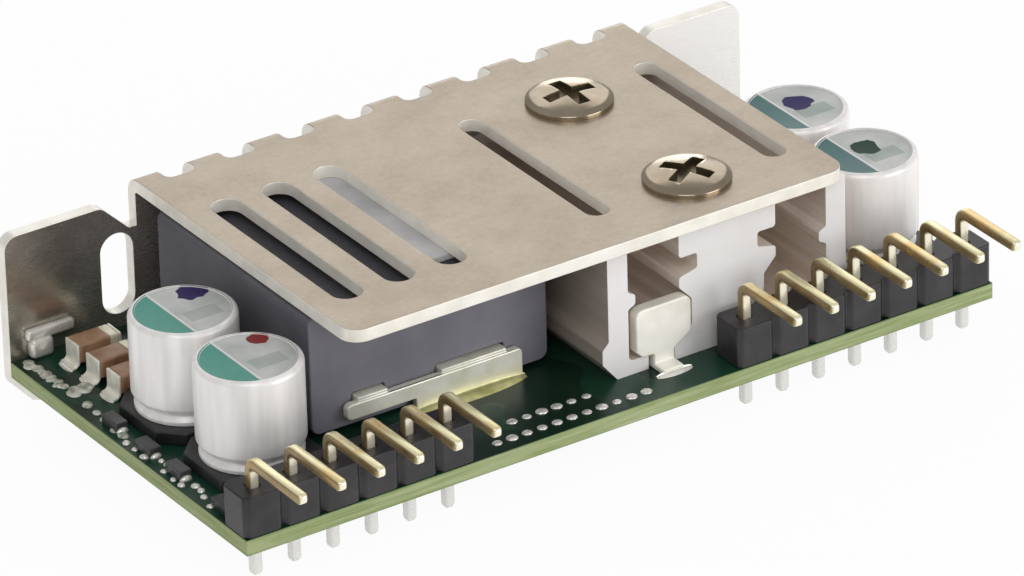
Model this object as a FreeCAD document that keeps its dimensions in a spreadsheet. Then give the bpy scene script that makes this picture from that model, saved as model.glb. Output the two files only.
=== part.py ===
# Open-frame dc-dc converter: a board with two pin rows, a folded heat spreader and an extruded channel.
# Millimetres. Origin at the middle of the board's underside, X along the board, Y to the rear, Z up.
import FreeCAD, Part
import os

import Sketcher

Vector = FreeCAD.Vector
document = FreeCAD.newDocument("ConverterModule")
sheet = document.addObject("Spreadsheet::Sheet", "Sizes")
sheet_rows = []


class Size:
    """A measure with its value and the sheet formula that drives it."""

    def __init__(self, value, formula):
        self.value = value
        self.formula = formula

    def joined(self, sign, other, value):
        return Size(value, "(%s %s %s)" % (self.formula, sign, sized(other).formula))

    def __add__(self, other):
        return self.joined("+", other, self.value + sized(other).value)

    def __sub__(self, other):
        return self.joined("-", other, self.value - sized(other).value)

    def __mul__(self, other):
        return self.joined("*", other, self.value * sized(other).value)

    def __truediv__(self, other):
        return self.joined("/", other, self.value / sized(other).value)

    def __neg__(self):
        return Size(-self.value, "(0 - %s)" % self.formula)


def sized(number):
    """Give a plain number the form of a size."""
    return number if isinstance(number, Size) else Size(float(number), str(number))


def size(alias, value):
    """Write one driving size into the sheet under its own name."""
    sheet_rows.append(alias)
    row = len(sheet_rows)
    sheet.set("A%d" % row, alias)
    sheet.set("B%d" % row, str(value))
    sheet.setAlias("B%d" % row, alias)
    return Size(float(value), "Sizes.%s" % alias)


# Board
board_thickness = size("board_thickness", 1.0)
end_margin = size("end_margin", 0.5)

# Pin rows along the front edge
pin_pitch = size("pin_pitch", 2.54)
pin_thickness = size("pin_thickness", 0.64)
pin_hole_diameter = size("pin_hole_diameter", 1.02)
pin_tail_below_board = size("pin_tail_below_board", 2.07)
left_pin_arm_height = size("left_pin_arm_height", 4.4)
right_pin_arm_height = size("right_pin_arm_height", 4.85)
pin_reach = size("pin_reach", 4.2)
pin_bend_radius = size("pin_bend_radius", 0.9)
pin_tip_chamfer = size("pin_tip_chamfer", 0.16)
housing_height = size("housing_height", 2.54)
housing_notch = size("housing_notch", 0.3)
housing_hole_clearance = size("housing_hole_clearance", 0.03)
left_pin_count = size("left_pin_count", 6)
right_pin_count = size("right_pin_count", 7)

# Folded heat spreader
sheet_thickness = size("sheet_thickness", 0.8)
bend_inner_radius = size("bend_inner_radius", 0.25)
plate_overhang = size("plate_overhang", 0.7)
plate_short_of_channel = size("plate_short_of_channel", 0.26)
plate_corner_radius = size("plate_corner_radius", 1.2)
ear_height = size("ear_height", 8.9)
ear_corner_radius = size("ear_corner_radius", 0.9)
ear_notch_height = size("ear_notch_height", 7.1)
left_ear_notch_width = size("left_ear_notch_width", 0.5)
right_ear_notch_width = size("right_ear_notch_width", 0.2)
ear_notch_radius = size("ear_notch_radius", 0.2)
ear_slot_from_plate = size("ear_slot_from_plate", 1.39)
ear_slot_width = size("ear_slot_width", 2.17)
ear_slot_bottom = size("ear_slot_bottom", 1.83)
ear_slot_top = size("ear_slot_top", 6.98)
foot_width = size("foot_width", 2.6)
foot_reach = size("foot_reach", 3.3)
foot_thickness = size("foot_thickness", 0.45)
foot_bend_radius = size("foot_bend_radius", 0.35)
foot_bevel = size("foot_bevel", 1.0)
window_count = size("window_count", 8)
window_width = size("window_width", 2.0)
end_lobe_width = size("end_lobe_width", 1.65)
window_front_from_rear = size("window_front_from_rear", 1.8)
window_drop = size("window_drop", 1.9)
window_corner_radius = size("window_corner_radius", 0.5)
vent_slot_count = size("vent_slot_count", 3)
vent_slot_pitch = size("vent_slot_pitch", 3.45)
vent_slot_inset = size("vent_slot_inset", 2.55)
vent_slot_width = size("vent_slot_width", 1.9)
vent_slot_from_front = size("vent_slot_from_front", 3.5)
vent_slot_from_rear = size("vent_slot_from_rear", 5.8)
narrow_slot_width = size("narrow_slot_width", 1.5)
narrow_slot_left_offset = size("narrow_slot_left_offset", 6.5)
narrow_slot_right_offset = size("narrow_slot_right_offset", 5.7)

# Extruded heat channel under the plate
channel_height = size("channel_height", 8.24)
channel_half_width = size("channel_half_width", 8.21)
channel_wall = size("channel_wall", 1.36)
housing_to_channel = size("housing_to_channel", 0.66)
channel_to_wall = size("channel_to_wall", 0.8)
channel_base = size("channel_base", 0.9)
channel_wall_root_radius = size("channel_wall_root_radius", 0.3)
gusset_width = size("gusset_width", 1.15)
gusset_height = size("gusset_height", 1.0)
gusset_radius = size("gusset_radius", 0.4)
shoe_bulge = size("shoe_bulge", 0.44)
shoe_top = size("shoe_top", 2.1)
shoe_chamfer_width = size("shoe_chamfer_width", 0.98)
shoe_chamfer_height = size("shoe_chamfer_height", 1.2)
shoe_radius = size("shoe_radius", 0.25)
wall_rib_depth = size("wall_rib_depth", 0.5)
wall_rib_bottom = size("wall_rib_bottom", 4.2)
wall_rib_height = size("wall_rib_height", 1.1)
wall_rib_slope = size("wall_rib_slope", 0.25)
wall_rib_radius = size("wall_rib_radius", 0.2)
post_half_width = size("post_half_width", 2.5)
post_throat_height = size("post_throat_height", 3.6)
fin_reach = size("fin_reach", 0.83)
fin_slope_height = size("fin_slope_height", 0.9)
fin_thickness = size("fin_thickness", 0.65)
fin_gap = size("fin_gap", 1.25)
fin_groove_depth = size("fin_groove_depth", 1.25)
fin_groove_slope = size("fin_groove_slope", 0.3)
fin_corner_radius = size("fin_corner_radius", 0.2)

# Screws through the plate into the channel's post
screw_head_diameter = size("screw_head_diameter", 5.2)
screw_head_height = size("screw_head_height", 0.7)
screw_head_radius = size("screw_head_radius", 0.4)
screw_shank_diameter = size("screw_shank_diameter", 2.4)
screw_grip = size("screw_grip", 5.0)
screw_hole_clearance = size("screw_hole_clearance", 0.15)
screw_thread_clearance = size("screw_thread_clearance", 0.05)
screw_offset = size("screw_offset", 0.25)
screw_from_front = size("screw_from_front", 3.6)
screw_from_rear = size("screw_from_rear", 5.8)
recess_span = size("recess_span", 3.2)
recess_width = size("recess_width", 0.8)
recess_depth = size("recess_depth", 0.5)
front_screw_turn = size("front_screw_turn", 30)

# Stamped clip that holds the channel's front end down
clip_wall_clearance = size("clip_wall_clearance", 0.35)
clip_post_clearance = size("clip_post_clearance", 0.25)
clip_base_clearance = size("clip_base_clearance", 0.1)
clip_top = size("clip_top", 4.05)
clip_thickness = size("clip_thickness", 0.8)
clip_proud = size("clip_proud", 0.3)
clip_corner_radius = size("clip_corner_radius", 0.5)
clip_left_chamfer = size("clip_left_chamfer", 0.4)
clip_right_rise = size("clip_right_rise", 0.75)
clip_neck_width = size("clip_neck_width", 1.4)
clip_neck_clearance = size("clip_neck_clearance", 0.2)
clip_foot_reach = size("clip_foot_reach", 0.9)
clip_foot_height = size("clip_foot_height", 0.35)

# Inductor under the left half of the plate
can_to_plate = size("can_to_plate", 0.45)
core_inset = size("core_inset", 0.25)
core_width = size("core_width", 15.9)
core_to_channel = size("core_to_channel", 0.95)
core_to_wall = size("core_to_wall", 1.9)
core_standoff = size("core_standoff", 0.2)
core_corner_radius = size("core_corner_radius", 0.6)
thermal_pad_thickness = size("thermal_pad_thickness", 0.5)
thermal_pad_left_inset = size("thermal_pad_left_inset", 8.0)
thermal_pad_right_inset = size("thermal_pad_right_inset", 0.5)
thermal_pad_margin = size("thermal_pad_margin", 1.2)
housing_to_strap = size("housing_to_strap", 4.26)
strap_thickness = size("strap_thickness", 0.5)
strap_gap = size("strap_gap", 0.1)
strap_left_inset = size("strap_left_inset", 2.0)
strap_right_inset = size("strap_right_inset", 2.1)
strap_lift = size("strap_lift", 0.8)
strap_height = size("strap_height", 1.0)
strap_end_radius = size("strap_end_radius", 0.35)
strap_tab_width = size("strap_tab_width", 7.2)
lip_rise = size("lip_rise", 0.25)
lip_setback = size("lip_setback", 0.1)
left_lip_inset = size("left_lip_inset", 0.8)
left_lip_width = size("left_lip_width", 2.0)
right_lip_inset = size("right_lip_inset", 1.0)
right_lip_width = size("right_lip_width", 4.4)
lip_insertion = size("lip_insertion", 1.0)
lip_clearance = size("lip_clearance", 0.1)

# Can capacitors, two at each end of the board
channel_to_can = size("channel_to_can", 0.55)
housing_to_can = size("housing_to_can", 1.51)
can_gap = size("can_gap", 0.3)
can_diameter = size("can_diameter", 6.3)
can_top = size("can_top", 6.7)
can_top_radius = size("can_top_radius", 0.35)
can_ring_inset = size("can_ring_inset", 0.15)
can_ring_height = size("can_ring_height", 0.25)
can_neck_inset = size("can_neck_inset", 0.4)
can_neck_height = size("can_neck_height", 0.35)
can_shoulder_height = size("can_shoulder_height", 0.4)
can_neck_radius = size("can_neck_radius", 0.15)
can_base_margin = size("can_base_margin", 0.15)
can_base_width = can_diameter + can_base_margin * 2
can_base_height = size("can_base_height", 0.8)
can_base_chamfer = size("can_base_chamfer", 1.3)

# Ceramic capacitors on lead frames
ceramic_count = size("ceramic_count", 3)
ceramic_inset = size("ceramic_inset", 2.3)
ceramic_to_wall = size("ceramic_to_wall", 1.65)
ceramic_gap = size("ceramic_gap", 0.75)
can_to_ceramic = size("can_to_ceramic", 0.2)
ceramic_length = size("ceramic_length", 2.6)
ceramic_width = size("ceramic_width", 1.5)
ceramic_lift = size("ceramic_lift", 0.35)
ceramic_height = size("ceramic_height", 1.15)
lead_thickness = size("lead_thickness", 0.16)
lead_width = size("lead_width", 1.4)
lead_foot = size("lead_foot", 0.55)
lead_bend_radius = size("lead_bend_radius", 0.3)

# Small chips along the left edge
chip_to_can = size("chip_to_can", 0.4)
chip_width = size("chip_width", 0.8)
chip_length = size("chip_length", 1.6)
chip_height = size("chip_height", 0.6)
chip_rear_offset = size("chip_rear_offset", 1.15)
chip_middle_offset = size("chip_middle_offset", 2.45)
chip_front_offset = size("chip_front_offset", 1.25)
chip_to_housing = size("chip_to_housing", 0.36)

# The board is as long and as wide as the pieces that stand on it
channel_outer_half = channel_half_width + shoe_bulge
board_length = (
    end_margin + chip_width + chip_to_can + can_base_width + can_to_plate + core_inset + core_width
    + core_to_channel + channel_outer_half * 2 + channel_to_can + can_base_width + end_margin
)
ceramic_rows = ceramic_width * ceramic_count + ceramic_gap * (ceramic_count - 1)
board_width = (
    pin_pitch + housing_to_can + can_base_width * 2 + can_gap + can_to_ceramic + ceramic_rows
    + ceramic_to_wall
)

# Places along the board
left_end = -board_length / 2
right_end = board_length / 2
first_pin_x = left_end + pin_pitch / 2
last_pin_x = right_end - pin_pitch / 2
left_can_x = left_end + end_margin + chip_width + chip_to_can + can_base_width / 2
plate_left = left_can_x + can_base_width / 2 + can_to_plate
core_left = plate_left + core_inset
core_right = core_left + core_width
channel_centre_x = core_right + core_to_channel + channel_outer_half
plate_right = channel_centre_x + channel_half_width - plate_short_of_channel
right_can_x = channel_centre_x + channel_outer_half + channel_to_can + can_base_width / 2
screw_x = channel_centre_x - screw_offset

# Places from the front of the board to its rear
board_front = -board_width / 2
board_rear = board_width / 2
wall_outside = board_rear + sheet_thickness
pin_row_y = board_front + pin_pitch / 2
housing_rear = board_front + pin_pitch
channel_front = housing_rear + housing_to_channel
channel_rear = board_rear - channel_to_wall
plate_front = channel_front - plate_overhang
clip_front = channel_front - clip_proud
strap_front = housing_rear + housing_to_strap
core_front = strap_front + strap_thickness + strap_gap
core_rear = board_rear - core_to_wall
front_can_y = housing_rear + housing_to_can + can_base_width / 2
rear_can_y = front_can_y + can_base_width + can_gap
screw_places = (channel_front + screw_from_front, channel_rear - screw_from_rear)

# Levels above the board's underside
plate_underside = board_thickness + channel_height
plate_top = plate_underside + sheet_thickness
base_top = board_thickness + channel_base


def new_body(label):
    """Start a solid of its own with the name of its piece."""
    body = document.addObject("PartDesign::Body", label)
    body.Label = label
    return body


def origin_part(body, role):
    """Find a plane or an axis of a body's own origin."""
    return [part for part in body.Origin.OriginFeatures if part.Role == role][0]


def sketch_on(body, role, name, offset=None):
    """Start a sketch on one of the body's origin planes, moved along the plane's normal."""
    sketch = body.newObject("Sketcher::SketchObject", name)
    sketch.AttachmentSupport = [(origin_part(body, role), "")]
    sketch.MapMode = "FlatFace"
    if offset is not None:
        sketch.setExpression("AttachmentOffset.Base.z", offset.formula)
    return sketch


def hold(sketch, element, point, across, up):
    """Tie a point of the sketch to its place from the sketch's origin."""
    for direction, place in (("DistanceX", across), ("DistanceY", up)):
        index = sketch.addConstraint(
            Sketcher.Constraint(direction, -1, 1, element, point, sized(place).value)
        )
        sketch.setExpression("Constraints[%d]" % index, sized(place).formula)


def hold_radius(sketch, element, radius):
    """Tie the radius of an arc or a circle."""
    index = sketch.addConstraint(Sketcher.Constraint("Radius", element, radius.value))
    sketch.setExpression("Constraints[%d]" % index, radius.formula)


def rounding(corner, place, before, after):
    """Where a corner's arc starts, where it ends and its centre; a sharp corner has no centre."""
    if len(corner) == 2:
        return place, place, None
    radius = corner[2].value
    towards_before = (before - place).normalize()
    towards_after = (after - place).normalize()
    middle = (towards_before + towards_after).normalize()
    sine = abs(middle.cross(towards_before).z)
    setback = radius * abs(middle.dot(towards_before)) / sine
    return place + towards_before * setback, place + towards_after * setback, place + middle * (radius / sine)


def outline(sketch, corners):
    """Draw a closed outline through corners given as (across, up) or (across, up, radius)."""
    count = len(corners)
    places = [Vector(sized(corner[0]).value, sized(corner[1]).value, 0) for corner in corners]
    arcs = [rounding(corner, places[index], places[index - 1], places[(index + 1) % count])
            for index, corner in enumerate(corners)]
    lines = [sketch.addGeometry(Part.LineSegment(arcs[index][1], arcs[(index + 1) % count][0]))
             for index in range(count)]
    for index, corner in enumerate(corners):
        arriving = lines[index - 1]
        leaving = lines[index]
        entry, way_out, centre = arcs[index]
        if centre is None:
            sketch.addConstraint(Sketcher.Constraint("Coincident", arriving, 2, leaving, 1))
            hold(sketch, leaving, 1, corner[0], corner[1])
            continue
        turns_left = (places[index] - entry).cross(way_out - places[index]).z > 0
        first, last = (entry, way_out) if turns_left else (way_out, entry)
        entry_end, exit_end = (1, 2) if turns_left else (2, 1)
        whole = Part.Circle(centre, Vector(0, 0, 1), corner[2].value)
        arc = sketch.addGeometry(Part.ArcOfCircle(whole, whole.parameter(first), whole.parameter(last)))
        sketch.addConstraint(Sketcher.Constraint("Tangent", arriving, 2, arc, entry_end))
        sketch.addConstraint(Sketcher.Constraint("Tangent", arc, exit_end, leaving, 1))
        hold_radius(sketch, arc, corner[2])
        point = sketch.addGeometry(Part.Point(places[index]), True)
        sketch.addConstraint(Sketcher.Constraint("PointOnObject", point, 1, arriving))
        sketch.addConstraint(Sketcher.Constraint("PointOnObject", point, 1, leaving))
        hold(sketch, point, 1, corner[0], corner[1])


def rectangle(left, bottom, right, top):
    """Corners of an upright rectangle."""
    return [(left, bottom), (right, bottom), (right, top), (left, top)]


def mirrored(half, centre):
    """Close a right-hand half outline, given outwards from a centre line, with its left twin."""
    right = [(centre + corner[0],) + tuple(corner[1:]) for corner in half]
    left = [(centre - corner[0],) + tuple(corner[1:]) for corner in reversed(half)]
    return right + left


def circle(sketch, across, up, radius):
    """Draw a circle about a held centre."""
    centre = Vector(sized(across).value, sized(up).value, 0)
    element = sketch.addGeometry(Part.Circle(centre, Vector(0, 0, 1), radius.value))
    hold(sketch, element, 3, across, up)
    hold_radius(sketch, element, radius)


def slot(sketch, across, low, high, width):
    """Draw a round-ended slot that runs up the sketch between two heights."""
    radius = width / 2
    right = (across + radius).value
    left = (across - radius).value
    bottom = (low + radius).value
    top = (high - radius).value
    upper = Part.Circle(Vector(across.value, top, 0), Vector(0, 0, 1), radius.value)
    lower = Part.Circle(Vector(across.value, bottom, 0), Vector(0, 0, 1), radius.value)
    corners = [Vector(right, bottom, 0), Vector(right, top, 0), Vector(left, top, 0), Vector(left, bottom, 0)]
    right_line = sketch.addGeometry(Part.LineSegment(corners[0], corners[1]))
    upper_arc = sketch.addGeometry(
        Part.ArcOfCircle(upper, upper.parameter(corners[1]), upper.parameter(corners[2]))
    )
    left_line = sketch.addGeometry(Part.LineSegment(corners[2], corners[3]))
    lower_arc = sketch.addGeometry(
        Part.ArcOfCircle(lower, lower.parameter(corners[3]), lower.parameter(corners[0]))
    )
    loop = (right_line, upper_arc, left_line, lower_arc, right_line)
    for one, two in zip(loop, loop[1:]):
        sketch.addConstraint(Sketcher.Constraint("Tangent", one, 2, two, 1))
    hold(sketch, upper_arc, 3, across, high - radius)
    hold(sketch, lower_arc, 3, across, low + radius)
    hold_radius(sketch, upper_arc, radius)


def pad(body, sketch, length, backwards=False, symmetric=False):
    """Raise a sketch into a solid."""
    feature = body.newObject("PartDesign::Pad", sketch.Name + "_pad")
    feature.Profile = sketch
    feature.setExpression("Length", length.formula)
    feature.Reversed = backwards
    if symmetric:
        feature.SideType = "Symmetric"
    return feature


def cut(body, sketch, depth=None, backwards=False):
    """Sink a sketch into the body, to a depth or right through."""
    feature = body.newObject("PartDesign::Pocket", sketch.Name + "_cut")
    feature.Profile = sketch
    feature.Reversed = backwards
    if depth is None:
        feature.Type = "ThroughAll"
    else:
        feature.setExpression("Length", depth.formula)
    return feature


def row(body, feature, count, pitch):
    """Repeat a feature along X."""
    pattern = body.newObject("PartDesign::LinearPattern", feature.Name + "_row")
    pattern.Originals = [feature]
    pattern.Direction = (origin_part(body, "X_Axis"), [""])
    pattern.setExpression("Length", (pitch * (count - 1)).formula)
    pattern.setExpression("Occurrences", count.formula)
    body.Tip = pattern
    return pattern


def edges_where(feature, test):
    """Name the edges of a feature whose middle point passes a test."""
    document.recompute()
    names = []
    for index, edge in enumerate(feature.Shape.Edges):
        middle = edge.valueAt((edge.FirstParameter + edge.LastParameter) / 2)
        if test(edge, middle):
            names.append("Edge%d" % (index + 1))
    return names


def soften(body, kind, feature, names, amount):
    """Round or chamfer the named edges of a feature."""
    finish = body.newObject("PartDesign::%s" % kind, feature.Name + "_" + kind.lower())
    finish.Base = (feature, names)
    finish.setExpression("Radius" if kind == "Fillet" else "Size", amount.formula)
    return finish


def place(piece, across=None, depth=None, up=None):
    """Tie a piece's place to the sheet."""
    for axis, distance in (("x", across), ("y", depth), ("z", up)):
        if distance is not None:
            piece.setExpression(".Placement.Base.%s" % axis, distance.formula)


def block(label, width, depth, height):
    """A plain rectangular piece."""
    piece = document.addObject("Part::Box", label)
    piece.Label = label
    piece.setExpression("Length", width.formula)
    piece.setExpression("Width", depth.formula)
    piece.setExpression("Height", height.formula)
    return piece


def near(one, other):
    """Tell whether two measures agree to within a hundredth of a millimetre."""
    tolerance = 0.01
    return abs(one - other) < tolerance


def pin_places():
    """Names, places and arm heights of the fitted pins: the left row, then the right row."""
    left = [("left_pin_%d" % (number + 1), first_pin_x + pin_pitch * number, left_pin_arm_height)
            for number in range(int(left_pin_count.value))]
    first_right_x = last_pin_x - pin_pitch * (right_pin_count - 1)
    right = [("right_pin_%d" % (number + 1), first_right_x + pin_pitch * number, right_pin_arm_height)
             for number in range(int(right_pin_count.value))]
    return left + right


def make_board():
    """Rectangular board with a round hole for each pin."""
    body = new_body("circuit_board")
    slab = sketch_on(body, "XY_Plane", "board_outline")
    outline(slab, rectangle(left_end, board_front, right_end, board_rear))
    pad(body, slab, board_thickness)
    holes = sketch_on(body, "XY_Plane", "pin_holes")
    for _, across, _ in pin_places():
        circle(holes, across, pin_row_y, pin_hole_diameter / 2)
    cut(body, holes, backwards=True)


def make_housing(label, start, count):
    """Moulded strip of eight-sided blocks, one to a pin, with a square hole through each."""
    body = new_body(label)
    half = pin_pitch / 2
    flat = half - housing_notch
    cell = sketch_on(body, "XY_Plane", label + "_block", board_thickness)
    front_half = [(flat, pin_row_y - half), (half, pin_row_y - flat), (half, pin_row_y + flat),
                  (flat, pin_row_y + half)]
    outline(cell, mirrored(front_half, sized(0)))
    row(body, pad(body, cell, housing_height), count, pin_pitch)
    hole_half = pin_thickness / 2 + housing_hole_clearance
    hole = sketch_on(body, "XY_Plane", label + "_hole", board_thickness)
    outline(hole, rectangle(-hole_half, pin_row_y - hole_half, hole_half, pin_row_y + hole_half))
    row(body, cut(body, hole, backwards=True), count, pin_pitch)
    place(body, across=start)


def make_pin(label, across, arm_height):
    """Square wire pin, bent through a right angle above its housing."""
    body = new_body(label)
    rear = pin_row_y + pin_thickness / 2
    front = pin_row_y - pin_thickness / 2
    arm_top = board_thickness + arm_height
    tip = board_front - pin_reach
    tail = -pin_tail_below_board
    side = sketch_on(body, "YZ_Plane", label + "_side")
    outline(side, [
        (front, tail),
        (rear, tail),
        (rear, arm_top, pin_bend_radius),
        (tip, arm_top),
        (tip, arm_top - pin_thickness),
        (front, arm_top - pin_thickness, pin_bend_radius - pin_thickness),
    ])
    wire = pad(body, side, pin_thickness, symmetric=True)
    ends = edges_where(wire, lambda edge, middle: near(middle.y, tip.value) or near(middle.z, tail.value))
    soften(body, "Chamfer", wire, ends, pin_tip_chamfer)
    place(body, across=across)


def ear_outline(plate_end, board_end, notch_width, outwards):
    """Corners of one ear, from the plate's end out to the board's end."""
    notch_end = plate_end + notch_width * outwards
    slope_end = notch_end + (ear_height - ear_notch_height) * outwards
    return [
        (plate_end, sized(0)),
        (board_end, sized(0)),
        (board_end, ear_height, ear_corner_radius),
        (slope_end, ear_height, ear_corner_radius),
        (notch_end, ear_notch_height, ear_notch_radius),
        (plate_end, ear_notch_height),
    ]


def make_heat_spreader():
    """One folded sheet: slotted top plate, perforated rear bend, rear wall, two ears and two feet."""
    body = new_body("heat_spreader")
    plate_width = plate_right - plate_left
    section = sketch_on(body, "YZ_Plane", "fold_section", plate_left)
    outline(section, [
        (plate_front, plate_top),
        (plate_front, plate_underside),
        (board_rear, plate_underside, bend_inner_radius),
        (board_rear, sized(0)),
        (wall_outside, sized(0)),
        (wall_outside, plate_top, bend_inner_radius + sheet_thickness),
    ])
    folded = pad(body, section, plate_width)
    corners = edges_where(
        folded,
        lambda edge, middle: near(middle.y, plate_front.value) and near(edge.Length, sheet_thickness.value),
    )
    soften(body, "Fillet", folded, corners, plate_corner_radius)

    slot_place = ear_slot_from_plate - plate_left
    ends = (
        ("left", plate_left, left_end, left_ear_notch_width, -1, left_end),
        ("right", plate_right, right_end, right_ear_notch_width, 1, right_end - foot_width),
    )
    for side, plate_end, board_end, notch_width, outwards, foot_start in ends:
        ear = sketch_on(body, "XZ_Plane", side + "_ear", -wall_outside)
        outline(ear, ear_outline(plate_end, board_end, notch_width, outwards))
        pad(body, ear, sheet_thickness)
        foot = sketch_on(body, "YZ_Plane", side + "_foot", foot_start)
        outline(foot, [
            (board_rear - foot_reach, sized(0)),
            (board_rear - foot_reach + foot_bevel, -foot_thickness),
            (wall_outside, -foot_thickness, foot_bend_radius),
            (wall_outside, sized(0)),
        ])
        pad(body, foot, foot_width)
        ear_slot = sketch_on(body, "XZ_Plane", side + "_ear_slot", -board_rear)
        slot(ear_slot, slot_place * outwards, ear_slot_bottom, ear_slot_top, ear_slot_width)
        cut(body, ear_slot, sheet_thickness)

    window = sketch_on(body, "XY_Plane", "relief_window", plate_top)
    window_left = plate_left + end_lobe_width
    window_right = window_left + window_width
    window_front = wall_outside - window_front_from_rear
    window_pitch = (plate_width - end_lobe_width * 2 - window_width) / (window_count - 1)
    outline(window, [
        (window_left, window_front, window_corner_radius),
        (window_right, window_front, window_corner_radius),
        (window_right, wall_outside + sheet_thickness),
        (window_left, wall_outside + sheet_thickness),
    ])
    row(body, cut(body, window, window_drop), window_count, window_pitch)

    vent_front = plate_front + vent_slot_from_front
    vent_rear = wall_outside - vent_slot_from_rear
    vent = sketch_on(body, "XY_Plane", "vent_slot", plate_top)
    slot(vent, plate_left + vent_slot_inset, vent_front, vent_rear, vent_slot_width)
    row(body, cut(body, vent), vent_slot_count, vent_slot_pitch)
    openings = sketch_on(body, "XY_Plane", "narrow_slots_and_screw_holes", plate_top)
    for across in (channel_centre_x - narrow_slot_left_offset, channel_centre_x + narrow_slot_right_offset):
        slot(openings, across, vent_front, vent_rear, narrow_slot_width)
    for depth in screw_places:
        circle(openings, screw_x, depth, screw_shank_diameter / 2 + screw_hole_clearance)
    cut(body, openings)


def channel_half_outline():
    """Right-hand half of the channel's section, from the bottom round to the top of the post."""
    inner = channel_half_width - channel_wall
    shoe_level = board_thickness + shoe_top
    rib_bottom = board_thickness + wall_rib_bottom
    rib_top = rib_bottom + wall_rib_height
    rib_face = inner - wall_rib_depth
    throat = board_thickness + post_throat_height
    fin_face = post_half_width + fin_reach
    fin_bottom = throat + fin_slope_height
    fin_top = fin_bottom + fin_thickness
    groove_face = fin_face - fin_groove_depth
    return [
        (channel_outer_half - shoe_chamfer_width, board_thickness),
        (channel_outer_half, board_thickness + shoe_chamfer_height, shoe_radius),
        (channel_outer_half, shoe_level, shoe_radius),
        (channel_half_width, shoe_level + shoe_bulge),
        (channel_half_width, plate_underside),
        (inner, plate_underside),
        (inner, rib_top, wall_rib_radius),
        (rib_face, rib_top - wall_rib_slope, wall_rib_radius),
        (rib_face, rib_bottom + wall_rib_slope, wall_rib_radius),
        (inner, rib_bottom, wall_rib_radius),
        (inner, base_top, channel_wall_root_radius),
        (post_half_width + gusset_width, base_top, gusset_radius),
        (post_half_width, base_top + gusset_height, gusset_radius),
        (post_half_width, throat),
        (fin_face, fin_bottom, fin_corner_radius),
        (fin_face, fin_top, fin_corner_radius),
        (groove_face, fin_top + fin_groove_slope, fin_corner_radius),
        (groove_face, fin_top + fin_gap, fin_corner_radius),
        (fin_face, fin_top + fin_gap, fin_corner_radius),
        (fin_face, plate_underside),
    ]


def clip_bounds():
    """Left and right edges of the clip's head, between the channel's left wall and its post."""
    left = channel_centre_x - channel_half_width + channel_wall + clip_wall_clearance
    right = channel_centre_x - post_half_width - clip_post_clearance
    return left, right


def make_heat_channel():
    """Extruded channel with a finned post in its middle, ribbed walls and a slotted base."""
    body = new_body("heat_channel")
    section = sketch_on(body, "XZ_Plane", "channel_section", -channel_front)
    outline(section, mirrored(channel_half_outline(), channel_centre_x))
    pad(body, section, channel_rear - channel_front, backwards=True)
    left, right = clip_bounds()
    neck_half = clip_neck_width / 2 + clip_neck_clearance
    neck_x = (left + right) / 2
    notch = sketch_on(body, "XY_Plane", "clip_notch", board_thickness)
    outline(notch, rectangle(neck_x - neck_half, channel_front - clip_neck_clearance,
                             neck_x + neck_half, clip_front + clip_thickness + clip_neck_clearance))
    cut(body, notch, channel_base, backwards=True)
    threads = sketch_on(body, "XY_Plane", "screw_threads", plate_underside)
    for depth in screw_places:
        circle(threads, screw_x, depth, screw_shank_diameter / 2 + screw_thread_clearance)
    cut(body, threads, screw_grip + screw_hole_clearance)


def make_clip():
    """Flat stamped clip: its head lies over the channel's base and its neck stands on the board."""
    body = new_body("hold_down_clip")
    left, right = clip_bounds()
    centre = (left + right) / 2
    top = board_thickness + clip_top
    head_bottom = base_top + clip_base_clearance
    neck_half = clip_neck_width / 2
    face = sketch_on(body, "XZ_Plane", "clip_face", -clip_front)
    outline(face, [
        (centre - neck_half, board_thickness),
        (centre + neck_half, board_thickness),
        (centre + neck_half, head_bottom),
        (right, head_bottom + clip_right_rise),
        (right, top, clip_corner_radius),
        (left, top, clip_corner_radius),
        (left, head_bottom + clip_left_chamfer),
        (left + clip_left_chamfer, head_bottom),
        (centre - neck_half, head_bottom),
    ])
    pad(body, face, clip_thickness, backwards=True)
    foot = sketch_on(body, "XY_Plane", "clip_foot", board_thickness)
    outline(foot, rectangle(centre - neck_half, clip_front - clip_foot_reach, centre + neck_half, clip_front))
    pad(body, foot, clip_foot_height)


def make_screw(label, depth, turn):
    """Low-headed screw with a cross recess, left at its own turn."""
    body = new_body(label)
    shank = screw_shank_diameter / 2
    head = screw_head_diameter / 2
    head_top = plate_top + screw_head_height
    half = sketch_on(body, "XZ_Plane", label + "_half_section")
    outline(half, [
        (sized(0), plate_underside - screw_grip),
        (shank, plate_underside - screw_grip),
        (shank, plate_top),
        (head, plate_top),
        (head, head_top, screw_head_radius),
        (sized(0), head_top),
    ])
    turned = body.newObject("PartDesign::Revolution", label + "_turned")
    turned.Profile = half
    turned.ReferenceAxis = (half, ["V_Axis"])
    arm = recess_span / 2
    web = recess_width / 2
    cross = sketch_on(body, "XY_Plane", label + "_recess", head_top)
    outline(cross, [
        (arm, -web), (arm, web), (web, web), (web, arm), (-web, arm), (-web, web),
        (-arm, web), (-arm, -web), (-web, -web), (-web, -arm), (web, -arm), (web, -web),
    ])
    cut(body, cross, recess_depth)
    body.Placement = FreeCAD.Placement(Vector(0, 0, 0), FreeCAD.Rotation(Vector(0, 0, 1), turn.value))
    body.setExpression(".Placement.Rotation.Angle", turn.formula)
    place(body, across=screw_x, depth=depth)


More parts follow.
